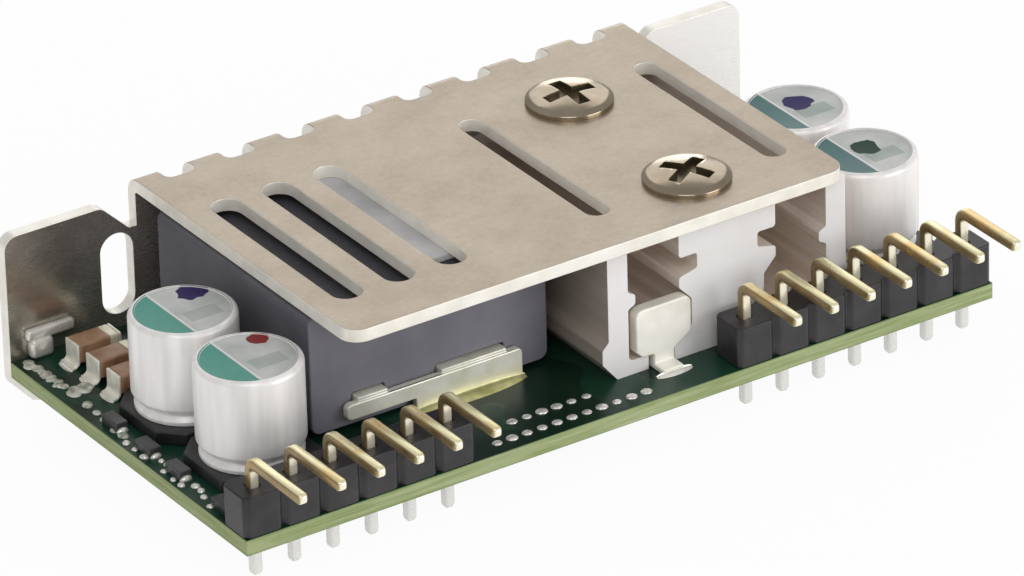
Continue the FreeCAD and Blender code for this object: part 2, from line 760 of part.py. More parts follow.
def make_inductor():
    """Ferrite block, the flat winding strap in front of it and the pad on top of it."""
    core = new_body("inductor_core")
    core_top = plate_underside - thermal_pad_thickness
    core_bottom = board_thickness + core_standoff
    strap_left = core_left + strap_left_inset
    strap_right = core_right - strap_right_inset
    strap_bottom = board_thickness + strap_lift
    strap_top = strap_bottom + strap_height
    lip_top = strap_top + lip_rise
    lip_bottom = lip_top - strap_thickness
    lips = (
        (strap_left + left_lip_inset, strap_left + left_lip_inset + left_lip_width),
        (strap_right - right_lip_inset - right_lip_width, strap_right - right_lip_inset),
    )
    face = sketch_on(core, "XZ_Plane", "core_face", -core_front)
    face_corners = rectangle(core_left, core_bottom, core_right, core_top)
    outline(face, [corner + (core_corner_radius,) for corner in face_corners])
    pad(core, face, core_rear - core_front, backwards=True)
    sockets = sketch_on(core, "XZ_Plane", "lip_sockets", -core_front)
    for left, right in lips:
        outline(sockets, rectangle(left - lip_clearance, lip_bottom - lip_clearance,
                                   right + lip_clearance, lip_top + lip_clearance))
    cut(core, sockets, lip_insertion + lip_clearance)

    winding = new_body("inductor_winding")
    tab_left = strap_right - strap_tab_width
    strip = sketch_on(winding, "XZ_Plane", "strap_face", -strap_front)
    outline(strip, [
        (tab_left, board_thickness),
        (strap_right, board_thickness),
        (strap_right, strap_top, strap_end_radius),
        (strap_left, strap_top, strap_end_radius),
        (strap_left, strap_bottom, strap_end_radius),
        (tab_left, strap_bottom),
    ])
    pad(winding, strip, strap_thickness, backwards=True)
    lip_faces = sketch_on(winding, "XZ_Plane", "lip_faces", -(strap_front + lip_setback))
    for left, right in lips:
        outline(lip_faces, rectangle(left, lip_bottom, right, lip_top))
    lip_length = strap_thickness - lip_setback + strap_gap + lip_insertion
    pad(winding, lip_faces, lip_length, backwards=True)

    thermal_left = core_left + thermal_pad_left_inset
    thermal = block(
        "thermal_pad",
        core_right - thermal_pad_right_inset - thermal_left,
        core_rear - core_front - thermal_pad_margin * 2,
        thermal_pad_thickness,
    )
    place(thermal, thermal_left, core_front + thermal_pad_margin, core_top)


def make_can(label, across, depth):
    """Rolled metal can, turned about its own axis, on a moulded square base."""
    base = new_body(label + "_base")
    half = can_base_width / 2
    square = sketch_on(base, "XY_Plane", label + "_base_outline", board_thickness)
    outline(square, [
        (-half + can_base_chamfer, -half),
        (half, -half),
        (half, half),
        (-half + can_base_chamfer, half),
        (-half, half - can_base_chamfer),
        (-half, -half + can_base_chamfer),
    ])
    pad(base, square, can_base_height)
    place(base, across, depth)

    can = new_body(label + "_can")
    radius = can_diameter / 2
    bottom = board_thickness + can_base_height
    ring_top = bottom + can_ring_height
    neck_level = ring_top + can_neck_height
    shoulder = neck_level + can_shoulder_height
    top = board_thickness + can_top
    wall = sketch_on(can, "XZ_Plane", label + "_can_half_section")
    outline(wall, [
        (sized(0), bottom),
        (radius - can_ring_inset, bottom),
        (radius - can_ring_inset, ring_top),
        (radius - can_neck_inset, neck_level, can_neck_radius),
        (radius, shoulder, can_neck_radius),
        (radius, top, can_top_radius),
        (sized(0), top),
    ])
    turned = can.newObject("PartDesign::Revolution", label + "_can_turned")
    turned.Profile = wall
    turned.ReferenceAxis = (wall, ["V_Axis"])
    place(can, across, depth)


def make_ceramic(number, depth):
    """Ceramic block between two sprung lead frames whose feet turn outwards."""
    label = "ceramic_%d" % number
    left = left_end + ceramic_inset + lead_foot
    right = left + ceramic_length
    chip = block(label + "_body", ceramic_length, ceramic_width, ceramic_height)
    place(chip, left, depth - ceramic_width / 2, board_thickness + ceramic_lift)
    top = board_thickness + ceramic_lift + ceramic_height
    foot_top = board_thickness + lead_thickness
    for side, turn, end in (("right", 0, right), ("left", 180, left)):
        lead = new_body("%s_%s_lead" % (label, side))
        strip = sketch_on(lead, "XZ_Plane", "%s_%s_strip" % (label, side))
        outline(strip, [
            (sized(0), board_thickness, lead_bend_radius + lead_thickness),
            (lead_foot, board_thickness),
            (lead_foot, foot_top),
            (lead_thickness, foot_top, lead_bend_radius),
            (lead_thickness, top),
            (sized(0), top),
        ])
        pad(lead, strip, lead_width, symmetric=True)
        lead.Placement = FreeCAD.Placement(Vector(0, 0, 0), FreeCAD.Rotation(Vector(0, 0, 1), turn))
        place(lead, end, depth)


def make_chips():
    """Small chips in a line between the cans and the board's left edge."""
    depths = (
        rear_can_y + chip_rear_offset,
        rear_can_y - chip_middle_offset,
        front_can_y + chip_front_offset,
        housing_rear + chip_to_housing + chip_length / 2,
    )
    for number, depth in enumerate(depths):
        chip = block("signal_chip_%d" % (number + 1), chip_width, chip_length, chip_height)
        place(chip, left_end + end_margin, depth - chip_length / 2, board_thickness)


def pieces():
    """Every object that is a piece of the converter."""
    return [item for item in document.Objects if item.TypeId in ("PartDesign::Body", "Part::Box")]


def check_document():
    """Stop if anything failed to build or a cut took nothing away."""
    for item in document.Objects:
        if "Invalid" in item.State or "Error" in item.State:
            raise RuntimeError("%s did not build" % item.Label)
        if item.TypeId == "PartDesign::Pocket" and item.Shape.Volume >= item.BaseFeature.Shape.Volume:
            raise RuntimeError("%s cuts nothing" % item.Label)
    for piece in pieces():
        if piece.Shape.isNull() or not piece.Shape.isValid():
            raise RuntimeError("%s has no sound shape" % piece.Label)
        if len(piece.Shape.Solids) != 1:
            raise RuntimeError("%s is %d solids" % (piece.Label, len(piece.Shape.Solids)))


def main():
    """Build every piece and write each one to its own file."""
    document.recompute()
    make_board()
    make_housing("left_header_housing", first_pin_x, left_pin_count)
    make_housing("right_header_housing", last_pin_x - pin_pitch * (right_pin_count - 1), right_pin_count)
    for label, across, arm_height in pin_places():
        make_pin(label, across, arm_height)
    make_heat_spreader()
    make_heat_channel()
    make_clip()
    make_screw("front_screw", screw_places[0], front_screw_turn)
    make_screw("rear_screw", screw_places[1], sized(0))
    make_inductor()
    for side, across in (("left", left_can_x), ("right", right_can_x)):
        make_can(side + "_front_capacitor", across, front_can_y)
        make_can(side + "_rear_capacitor", across, rear_can_y)
    first_ceramic_y = board_rear - ceramic_to_wall - ceramic_width / 2
    for number in range(int(ceramic_count.value)):
        make_ceramic(number + 1, first_ceramic_y - (ceramic_width + ceramic_gap) * number)
    make_chips()
    document.recompute()
    check_document()
    os.makedirs("parts", exist_ok=True)
    for piece in pieces():
        piece.Shape.exportStep("parts/%s.step" % piece.Label)
        print(piece.Label, round(piece.Shape.Volume, 3))


main()
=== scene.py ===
import logging
import math
import random
from dataclasses import dataclass, field
from enum import Enum
from typing import Callable, Optional, Sequence

import bmesh
import bpy
from mathutils import Matrix, Vector


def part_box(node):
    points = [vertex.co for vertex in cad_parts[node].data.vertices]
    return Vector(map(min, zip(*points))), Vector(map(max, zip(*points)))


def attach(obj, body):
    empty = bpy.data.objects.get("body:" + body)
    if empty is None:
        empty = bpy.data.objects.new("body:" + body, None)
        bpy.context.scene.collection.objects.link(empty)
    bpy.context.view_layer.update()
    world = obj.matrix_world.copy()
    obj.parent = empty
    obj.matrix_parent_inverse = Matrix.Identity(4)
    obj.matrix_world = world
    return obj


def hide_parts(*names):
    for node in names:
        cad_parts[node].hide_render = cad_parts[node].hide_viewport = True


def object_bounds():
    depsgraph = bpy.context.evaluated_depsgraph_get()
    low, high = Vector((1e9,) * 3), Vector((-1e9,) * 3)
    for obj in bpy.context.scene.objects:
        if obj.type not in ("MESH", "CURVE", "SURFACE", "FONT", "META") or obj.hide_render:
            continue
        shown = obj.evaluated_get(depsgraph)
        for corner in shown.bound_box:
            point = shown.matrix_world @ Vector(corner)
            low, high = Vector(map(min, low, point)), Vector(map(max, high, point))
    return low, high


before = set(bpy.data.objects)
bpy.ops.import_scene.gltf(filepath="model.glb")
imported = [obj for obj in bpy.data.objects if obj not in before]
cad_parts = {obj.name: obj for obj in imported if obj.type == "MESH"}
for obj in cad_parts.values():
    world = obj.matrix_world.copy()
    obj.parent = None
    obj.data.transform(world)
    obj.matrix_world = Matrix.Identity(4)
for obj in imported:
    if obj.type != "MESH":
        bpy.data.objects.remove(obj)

MM = 0.001
RIGHT, FORWARDS, UP = Vector((1, 0, 0)), Vector((0, -1, 0)), Vector((0, 0, 1))
BODY = "root"
LOG = logging.getLogger("converter")
CAD_BOX = [[float(v) for v in corner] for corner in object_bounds()]

Triple = tuple[float, float, float]
Colour = Triple
Zone = Callable[[Vector, Vector], int]
Socket = bpy.types.NodeSocket
Material = bpy.types.Material
Mesh = bpy.types.Mesh
Piece = bpy.types.Object


# ---------------------------------------------------------------- finishes


class Blend(Enum):
    """How one colour is laid over another."""

    MIX = "MIX"
    MULTIPLY = "MULTIPLY"


def fill(tree: bpy.types.NodeTree, socket: Socket, value: object) -> None:
    """Set a socket, or join another node's output to it.

    Args:
        tree: the node tree.
        socket: the input to fill.
        value: an output socket, a number, a vector or a colour.
    """
    if isinstance(value, Socket):
        tree.links.new(value, socket)
    elif socket.type == "RGBA":
        socket.default_value = (*value, 1.0)
    else:
        socket.default_value = value


def add(tree: bpy.types.NodeTree, kind: str, inputs: Optional[dict] = None, **options: object) -> bpy.types.Node:
    """Add a node to a tree.

    Args:
        tree: the node tree.
        kind: the node's type.
        inputs: what fills its inputs, by name or index.
        options: its settings.

    Returns:
        The node.
    """
    node = tree.nodes.new(kind)
    for name, value in options.items():
        setattr(node, name, value)
    for socket, value in (inputs or {}).items():
        fill(tree, node.inputs[socket], value)
    return node


class Recipe:
    """The node tree of one finish, with short ways to add and join its nodes."""

    def __init__(self, name: str) -> None:
        """Start a material with only a shader and an output.

        Args:
            name: the material's name.
        """
        self.material = bpy.data.materials.new(name)
        self.material.use_nodes = True
        self.tree = self.material.node_tree
        self.tree.nodes.clear()
        self.shader = self.add("ShaderNodeBsdfPrincipled")
        self.out = self.add("ShaderNodeOutputMaterial", {0: self.shader.outputs[0]})
        self.place = self.add("ShaderNodeTexCoord").outputs["Object"]
        self.x, self.y, self.z = self.add("ShaderNodeSeparateXYZ", {0: self.place}).outputs
        facing = self.add("ShaderNodeTexCoord").outputs["Normal"]
        self.facing_x, self.facing_y, self.facing_z = self.add("ShaderNodeSeparateXYZ", {0: facing}).outputs

    def add(self, kind: str, inputs: Optional[dict] = None, **options: object) -> bpy.types.Node:
        """Add a node to the finish."""
        return add(self.tree, kind, inputs, **options)

    def put(self, **inputs: object) -> Material:
        """Fill the shader's own sockets by name, with spaces written as underscores, and give the material."""
        for name, value in inputs.items():
            fill(self.tree, self.shader.inputs[name.replace("_", " ")], value)
        return self.material

    def stretched(self, scale: Colour) -> Socket:
        """Give the object's coordinates scaled along each axis."""
        return self.add("ShaderNodeMapping", {"Vector": self.place, "Scale": scale}).outputs[0]

    def noise(self, scale: float, detail: float = 3.0, rough: float = 0.55,
              along: Optional[Socket] = None) -> Socket:
        """Give a cloudy pattern between 0 and 1.

        Args:
            scale: cells a metre.
            detail: how many finer layers it has.
            rough: the weight of the finer layers.
            along: stretched coordinates, or none for even ones.

        Returns:
            The pattern's value.
        """
        return self.add("ShaderNodeTexNoise", {"Vector": along or self.place, "Scale": scale, "Detail": detail,
                                               "Roughness": rough}).outputs["Fac"]

    def grains(self, scale: float) -> Socket:
        """Give the distance from scattered points, for grains and specks."""
        return self.add("ShaderNodeTexVoronoi", {"Vector": self.place, "Scale": scale}).outputs["Distance"]

    def ramp(self, value: object, low: float, high: float, start: float = 0.0,
             end: float = 1.0) -> Socket:
        """Stretch a value between two limits on to another range, clamped."""
        return self.add("ShaderNodeMapRange", {"Value": value, "From Min": low, "From Max": high, "To Min": start,
                                               "To Max": end}).outputs["Result"]

    def math(self, operation: str, *values: object) -> Socket:
        """Join values by an operation of the math node."""
        return self.add("ShaderNodeMath", dict(enumerate(values)), operation=operation).outputs[0]

    def times(self, first: object, second: object) -> Socket:
        """Multiply two values."""
        return self.math("MULTIPLY", first, second)

    def reach(self, x: Socket, y: Socket) -> Socket:
        """Give the length of a level vector."""
        return self.math("SQRT", self.math("ADD", self.times(x, x), self.times(y, y)))

    def band(self, value: Socket, low: float, high: float, soft: float = 0.03 * MM) -> Socket:
        """Give 1 between two places along an axis and 0 outside."""
        return self.times(self.ramp(value, low - soft, low), self.ramp(value, high, high + soft, 1.0, 0.0))

    def mix(self, amount: object, first: object, second: object, blend: Blend = Blend.MIX) -> Socket:
        """Lay one colour over another.

        Args:
            amount: how much of the second shows.
            first: the colour below.
            second: the colour above.
            blend: how they join.

        Returns:
            The joined colour.
        """
        return self.add("ShaderNodeMix", {"Factor": amount, 6: first, 7: second}, data_type="RGBA",
                        blend_type=blend.value).outputs[2]

    def relief(self, height: Socket, depth: float, strength: float = 1.0,
               over: Optional[Socket] = None) -> Socket:
        """Give a normal that follows a height pattern.

        Args:
            height: the pattern.
            depth: the height of its full range, in metres.
            strength: how much of it shows.
            over: a normal that it is laid over.

        Returns:
            The new normal.
        """
        inputs = {"Strength": strength, "Distance": depth, "Height": height}
        return self.add("ShaderNodeBump", inputs | ({"Normal": over} if over else {})).outputs[0]


@dataclass(frozen=True)
class TinnedSheet:
    """Satin tinned sheet metal, mottled, with fine specks and scratches, and a painted highlight that makes its front
    faces right of the middle near-white and less metallic.
    """

    name: str
    colour: Colour
    shade: Colour
    metallic: float = 0.85
    roughness: float = 0.36
    speck: Colour = (0.20, 0.14, 0.09)
    speck_share: float = 0.35
    grain_depth: float = 0.004 * MM
    # colour and share of the painted highlight on front faces right of the middle
    right_front_highlight: Colour = (0.42, 0.35, 0.28)
    right_front_highlight_share: float = 0.0

    def make(self) -> Material:
        """Build the finish.

        Returns:
            Its material.
        """
        recipe = Recipe(self.name)
        cloud = recipe.noise(260.0, 4.0, 0.6)
        fine = recipe.noise(2600.0, 5.0, 0.7)
        scratch = recipe.noise(900.0, 4.0, 0.65, recipe.stretched((1.0, 9.0, 9.0)))
        colour = recipe.mix(recipe.ramp(cloud, 0.35, 0.65), self.shade, self.colour)
        colour = recipe.mix(recipe.ramp(fine, 0.30, 0.75, 0.22, 0.0), colour, self.shade, Blend.MULTIPLY)
        spots = recipe.ramp(recipe.grains(820.0), 0.05, 0.11, 1.0, 0.0)
        chosen = recipe.ramp(recipe.noise(420.0, 2.0), 0.58, 0.64)
        colour = recipe.mix(recipe.times(recipe.times(spots, chosen), self.speck_share), colour, self.speck)
        # painted highlight: front faces right of x = 0 are mixed towards a near-white tone, and their metallic is
        # lowered below
        forwards = recipe.ramp(recipe.facing_y, -0.3, -0.6)
        right_front_highlight_mask = recipe.ramp(recipe.x, -1.0 * MM, 1.0 * MM, 0.0, self.right_front_highlight_share)
        right_front_highlight_mask = recipe.times(right_front_highlight_mask, forwards)
        colour = recipe.mix(right_front_highlight_mask, colour, self.right_front_highlight)
        rough = recipe.math("ADD", recipe.ramp(scratch, 0.3, 0.7, -0.05, 0.06),
                            recipe.ramp(cloud, 0.3, 0.7, self.roughness - 0.03, self.roughness + 0.04))
        metal = recipe.ramp(right_front_highlight_mask, 0.0, 1.0, self.metallic, 0.1)
        normal = recipe.relief(fine, self.grain_depth, 0.8)
        return recipe.put(Base_Color=colour, Metallic=metal, Roughness=rough, Normal=normal)


@dataclass(frozen=True)
class BrightMetal:
    """Plated or sheared metal whose colour drifts between two tones."""

    name: str
    colour: Colour
    tint: Colour
    roughness: float = 0.25
    metallic: float = 1.0
    scale: float = 700.0
    depth: float = 0.006 * MM
    foot: Optional[Colour] = None
    foot_height: float = 2.1 * MM

    def make(self) -> Material:
        """Build the finish.

        Returns:
            Its material.
        """
        recipe = Recipe(self.name)
        drift = recipe.noise(self.scale, 2.0, 0.5)
        colour = recipe.mix(recipe.ramp(drift, 0.35, 0.68), self.colour, self.tint)
        if self.foot:
            low = recipe.ramp(recipe.z, self.foot_height * 0.62, self.foot_height, 0.85, 0.0)
            colour = recipe.mix(low, colour, self.foot)
        rough = recipe.ramp(drift, 0.3, 0.7, self.roughness, self.roughness + 0.06)
        return recipe.put(Base_Color=colour, Metallic=self.metallic, Roughness=rough,
                          Normal=recipe.relief(drift, self.depth, 0.6))


@dataclass(frozen=True)
class PinPlating:
    """Pale gold wire, tinned below the board: cream on top, paler on forward faces as a painted highlight, and brown
    on its sides as painted shade.
    """

    name: str = "pale_gold"
    top: Colour = (1.0, 0.93, 0.60)
    blush: Colour = (0.92, 0.68, 0.32)
    # side is painted shade for faces turned left or right; front is a painted highlight for faces turned forwards
    side: Colour = (0.20, 0.115, 0.035)
    front: Colour = (0.98, 0.92, 0.74)
    tin: Colour = (0.80, 0.79, 0.76)

    def make(self) -> Material:
        """Build the finish.

        Returns:
            Its material.
        """
        recipe = Recipe(self.name)
        drift = recipe.noise(420.0, 2.0)
        fine = recipe.noise(1300.0, 1.0, 0.5)
        # painted shade on faces turned sideways, painted highlight on faces turned forwards
        across = recipe.ramp(recipe.math("ABSOLUTE", recipe.facing_x), 0.45, 0.85)
        front_highlight_mask = recipe.ramp(recipe.facing_y, -0.5, -0.85)
        colour = recipe.mix(recipe.ramp(drift, 0.48, 0.66), self.top, self.blush)
        colour = recipe.mix(front_highlight_mask, colour, self.front)
        colour = recipe.mix(recipe.times(across, recipe.ramp(drift, 0.3, 0.7, 0.95, 0.7)), colour, self.side)
        below = recipe.ramp(recipe.z, -0.15 * MM, 0.0, 1.0, 0.0)
        colour = recipe.mix(below, colour, self.tin)
        return recipe.put(Base_Color=colour, Metallic=recipe.ramp(below, 0.0, 1.0, 0.55, 0.5),
                          Roughness=recipe.ramp(fine, 0.3, 0.7, 0.22, 0.28),
                          Normal=recipe.relief(fine, 0.003 * MM, 0.5))


@dataclass(frozen=True)
class ExtrudedAluminium:
    """Extruded aluminium: drawn lines along its length, pale sawn ends, and a painted shade on its left outer face.
    """

    name: str = "extruded_aluminium"
    side: Colour = (0.94, 0.86, 0.78)
    side_dark: Colour = (0.72, 0.61, 0.53)
    sawn: Colour = (0.83, 0.83, 0.845)
    # dark tone painted on the left outer face as shade
    left_face_shade: Colour = (0.30, 0.27, 0.24)
    centre: float = 0.0
    half_width: float = 8.21 * MM

    def make(self) -> Material:
        """Build the finish.

        Returns:
            Its material.
        """
        recipe = Recipe(self.name)
        drawn = recipe.noise(1500.0, 4.0, 0.65, recipe.stretched((1.0, 0.03, 1.0)))
        cloud = recipe.noise(330.0, 3.0)
        sawn_lines = recipe.noise(2600.0, 3.0, 0.6, recipe.stretched((0.15, 1.0, 1.0)))
        end = recipe.ramp(recipe.math("ABSOLUTE", recipe.facing_y), 0.55, 0.8)
        side = recipe.mix(recipe.ramp(drawn, 0.3, 0.7), self.side_dark, self.side)
        # painted shade: points at the channel's far left, its left outer face, take the dark streaked tone
        far = recipe.math("SUBTRACT", self.centre, recipe.x)
        left_face_shade_mask = recipe.ramp(far, self.half_width - 0.12 * MM, self.half_width - 0.05 * MM)
        side = recipe.mix(left_face_shade_mask, side, recipe.mix(drawn, self.left_face_shade, self.side_dark))
        face = recipe.mix(recipe.ramp(cloud, 0.35, 0.7, 0.0, 0.3), self.sawn, self.side, Blend.MULTIPLY)
        face = recipe.mix(recipe.ramp(sawn_lines, 0.35, 0.7, 0.0, 0.14), face, self.side_dark)
        rough = recipe.math("ADD", recipe.ramp(end, 0.0, 1.0, 0.34, 0.55), recipe.ramp(drawn, 0.3, 0.7, -0.04, 0.06))
        metal = recipe.ramp(end, 0.0, 1.0, 0.3, 0.1)
        normal = recipe.relief(drawn, 0.01 * MM, 0.7)
        normal = recipe.relief(sawn_lines, 0.006 * MM, 0.5, normal)
        return recipe.put(Base_Color=recipe.mix(end, side, face), Metallic=metal, Roughness=rough, Normal=normal)


@dataclass(frozen=True)
class Moulding:
    """Moulded plastic or fired ceramic with a fine grain and paler scuffs; faces turned up or to the left can be
    darkened as painted shade.
    """

    name: str
    colour: Colour
    scuff: Colour
    roughness: float = 0.5
    scale: float = 1400.0
    depth: float = 0.01 * MM
    gloss: float = 0.0
    top_painted_shade: float = 0.0
    left_painted_shade: float = 0.0

    def make(self) -> Material:
        """Build the finish.

        Returns:
            Its material.
        """
        recipe = Recipe(self.name)
        cloud = recipe.noise(self.scale * 0.25, 4.0, 0.6)
        grain = recipe.noise(self.scale * 3.0, 4.0, 0.7)
        colour = recipe.mix(recipe.ramp(cloud, 0.35, 0.75), self.colour, self.scuff)
        # painted shade: faces turned up, and faces turned left, are mixed towards black
        top_shade_mask = recipe.ramp(recipe.facing_z, 0.7, 0.95, 0.0, self.top_painted_shade)
        colour = recipe.mix(top_shade_mask, colour, (0.0, 0.0, 0.0))
        left_shade_mask = recipe.ramp(recipe.facing_x, -0.6, -0.9, 0.0, self.left_painted_shade)
        colour = recipe.mix(left_shade_mask, colour, (0.0, 0.0, 0.0))
        colour = recipe.mix(recipe.ramp(grain, 0.55, 0.8, 0.0, 0.35), colour, self.scuff)
        rough = recipe.ramp(grain, 0.25, 0.75, self.roughness - 0.08, self.roughness + 0.08)
        return recipe.put(Base_Color=colour, Roughness=rough, Coat_Weight=self.gloss, Coat_Roughness=0.12,
                          Normal=recipe.relief(grain, self.depth, 0.7))


@dataclass(frozen=True)
class MetallisedCeramic:
    """Fired brown ceramic whose right end is covered with tinned metal."""

    name: str
    cap_from: float
    brown: Colour = (0.27, 0.13, 0.068)
    scuff: Colour = (0.45, 0.28, 0.165)
    cap: Colour = (0.86, 0.84, 0.66)

    def make(self) -> Material:
        """Build the finish.

        Returns:
            Its material.
        """
        recipe = Recipe(self.name)
        cloud = recipe.noise(700.0, 3.0, 0.55)
        grain = recipe.noise(3000.0, 2.0, 0.5)
        wave = recipe.ramp(cloud, 0.3, 0.7, -0.06 * MM, 0.06 * MM)
        along = recipe.math("ADD", recipe.x, wave)
        capped = recipe.ramp(along, self.cap_from, self.cap_from + 0.05 * MM)
        colour = recipe.mix(recipe.ramp(cloud, 0.35, 0.7), self.brown, self.scuff)
        colour = recipe.mix(recipe.ramp(grain, 0.55, 0.8, 0.0, 0.3), colour, self.scuff)
        return recipe.put(Base_Color=recipe.mix(capped, colour, self.cap), Metallic=recipe.times(capped, 0.3),
                          Roughness=recipe.ramp(grain, 0.3, 0.7, 0.34, 0.48), Coat_Weight=0.15, Coat_Roughness=0.12,
                          Normal=recipe.relief(grain, 0.004 * MM, 0.6))


@dataclass(frozen=True)
class BoardLaminate:
    """Green solder mask over woven glass, with bare yellow-green cut edges."""

    name: str = "board_laminate"
    mask: Colour = (0.003, 0.020, 0.010)
    copper: Colour = (0.006, 0.040, 0.022)
    edge: Colour = (0.25, 0.31, 0.12)
    edge_pale: Colour = (0.40, 0.46, 0.25)
    edge_dark: Colour = (0.05, 0.12, 0.035)

    def make(self) -> Material:
        """Build the finish.

        Returns:
            Its material.
        """
        recipe = Recipe(self.name)
        flat = recipe.ramp(recipe.math("ABSOLUTE", recipe.facing_z), 0.5, 0.8)
        pour = recipe.ramp(recipe.noise(190.0, 1.0, 0.3), 0.49, 0.50)
        weave = recipe.noise(2400.0, 2.0, 0.5)
        top = recipe.mix(pour, self.mask, self.copper)
        top = recipe.mix(recipe.ramp(weave, 0.35, 0.7, 0.0, 0.25), top, self.copper)
        layers = recipe.noise(1.0, 3.0, 0.6, recipe.stretched((260.0, 260.0, 5200.0)))
        side = recipe.mix(recipe.ramp(layers, 0.32, 0.68), self.edge, self.edge_pale)
        height = recipe.z
        rim = recipe.ramp(height, 0.90 * MM, 0.97 * MM)
        side = recipe.mix(recipe.times(rim, 0.75), side, self.edge_dark)
        underside = recipe.ramp(height, 0.02 * MM, 0.10 * MM, 0.45, 0.0)
        side = recipe.mix(underside, side, self.edge_dark)
        rough = recipe.ramp(flat, 0.0, 1.0, 0.62, 0.3)
        normal = recipe.relief(pour, 0.02 * MM, 0.5)
        normal = recipe.relief(weave, 0.004 * MM, 0.5, normal)
        return recipe.put(Base_Color=recipe.mix(flat, side, top), Roughness=rough, Specular_IOR_Level=0.32,
                          Normal=normal)


@dataclass(frozen=True)
class CanPrint:
    """Satin can whose pale top carries a coloured segment, a spot and a plain field."""

    name: str
    centre: tuple[float, float]
    top: float
    spot: Colour
    spot_place: tuple[float, float]
    spot_radius: float
    ink: Colour
    segment: Colour
    wall: Colour = (0.95, 0.925, 0.915)
    lid: Colour = (0.36, 0.38, 0.37)
    segment_from: float = -0.82 * MM
    print_radius: float = 2.80 * MM
    patch: tuple[float, ...] = (-0.30, 1.80, -1.50, -0.35)
    patch_share: float = 0.4

    def make(self) -> Material:
        """Build the finish.

        Returns:
            Its material.
        """
        recipe = Recipe(self.name)
        x = recipe.math("SUBTRACT", recipe.x, self.centre[0])
        y = recipe.math("SUBTRACT", recipe.y, self.centre[1])
        distance = recipe.reach(x, y)
        on_top = recipe.times(recipe.ramp(recipe.facing_z, 0.8, 0.9),
                              recipe.ramp(recipe.z, self.top - 0.4 * MM, self.top - 0.3 * MM))
        printed = recipe.times(on_top,
                               recipe.ramp(distance, self.print_radius, self.print_radius + 0.04 * MM, 1.0, 0.0))
        brushed = recipe.noise(1500.0, 1.5, 0.5, recipe.stretched((1.0, 1.0, 0.12)))
        colour = recipe.mix(recipe.ramp(brushed, 0.35, 0.7, 0.0, 0.22), self.wall, self.lid)
        lid = recipe.mix(recipe.ramp(recipe.noise(420.0, 2.0), 0.3, 0.7, 0.0, 0.3), self.lid, self.wall)
        colour = recipe.mix(printed, colour, lid)
        chord = recipe.ramp(x, self.segment_from - 0.04 * MM, self.segment_from, 1.0, 0.0)
        colour = recipe.mix(recipe.times(printed, chord), colour, self.segment)
        border = recipe.band(x, self.segment_from + 0.03 * MM, self.segment_from + 0.12 * MM)
        colour = recipe.mix(recipe.times(printed, border), colour, (0.66, 0.64, 0.64))
        off_x = recipe.math("SUBTRACT", x, self.spot_place[0])
        off_y = recipe.math("SUBTRACT", y, self.spot_place[1])
        wobble = recipe.ramp(recipe.noise(1300.0, 1.0), 0.3, 0.7, 0.84, 1.18)
        ragged = recipe.times(recipe.reach(off_x, off_y), wobble)
        blot = recipe.ramp(ragged, self.spot_radius, self.spot_radius + 0.06 * MM, 1.0, 0.0)
        left, right, low, high = (value * MM for value in self.patch)
        patch = recipe.times(recipe.band(x, left, right), recipe.band(y, low, high))
        patch = recipe.times(patch, self.patch_share)
        colour = recipe.mix(recipe.times(printed, patch), colour, self.ink)
        blot = recipe.times(printed, blot)
        colour = recipe.mix(blot, colour, self.spot)
        rough = recipe.math("ADD", recipe.ramp(printed, 0.0, 1.0, 0.38, 0.34),
                            recipe.ramp(brushed, 0.3, 0.7, -0.02, 0.03))
        metal = recipe.ramp(printed, 0.0, 1.0, 0.25, 0.1)
        return recipe.put(Base_Color=colour, Metallic=recipe.times(metal, recipe.math("SUBTRACT", 1.0, blot)),
                          Roughness=rough, Specular_IOR_Level=recipe.ramp(blot, 0.0, 1.0, 0.5, 0.12),
                          Normal=recipe.relief(brushed, 0.003 * MM, 0.5))


@dataclass(frozen=True)
class StudioFloor:
    """Pale floor that shows white to the camera and keeps the object's shadow."""

    name: str = "studio_floor"
    colour: Colour = (0.90, 0.90, 0.895)
    white_share: float = 0.95

    def make(self) -> Material:
        """Build the finish.

        Returns:
            Its material.
        """
        recipe = Recipe(self.name)
        cloud = recipe.noise(30.0, 2.0)
        recipe.put(Base_Color=recipe.mix(recipe.ramp(cloud, 0.3, 0.7, 0.0, 0.05), self.colour, (0.8, 0.8, 0.8)),
                   Roughness=0.7)
        path = recipe.add("ShaderNodeLightPath").outputs
        seen = recipe.math("MAXIMUM", path["Is Camera Ray"], path["Is Glossy Ray"])
        seen = recipe.math("MAXIMUM", seen, path["Is Transmission Ray"])
        glow = recipe.add("ShaderNodeEmission").outputs[0]
        share = recipe.times(seen, self.white_share)
        join = recipe.add("ShaderNodeMixShader", {0: share, 1: recipe.shader.outputs[0], 2: glow})
        fill(recipe.tree, recipe.out.inputs[0], join.outputs[0])
        return recipe.material


def made(finish: object) -> Material:
    """Make a finish when the set is made."""
    return field(default_factory=finish.make)


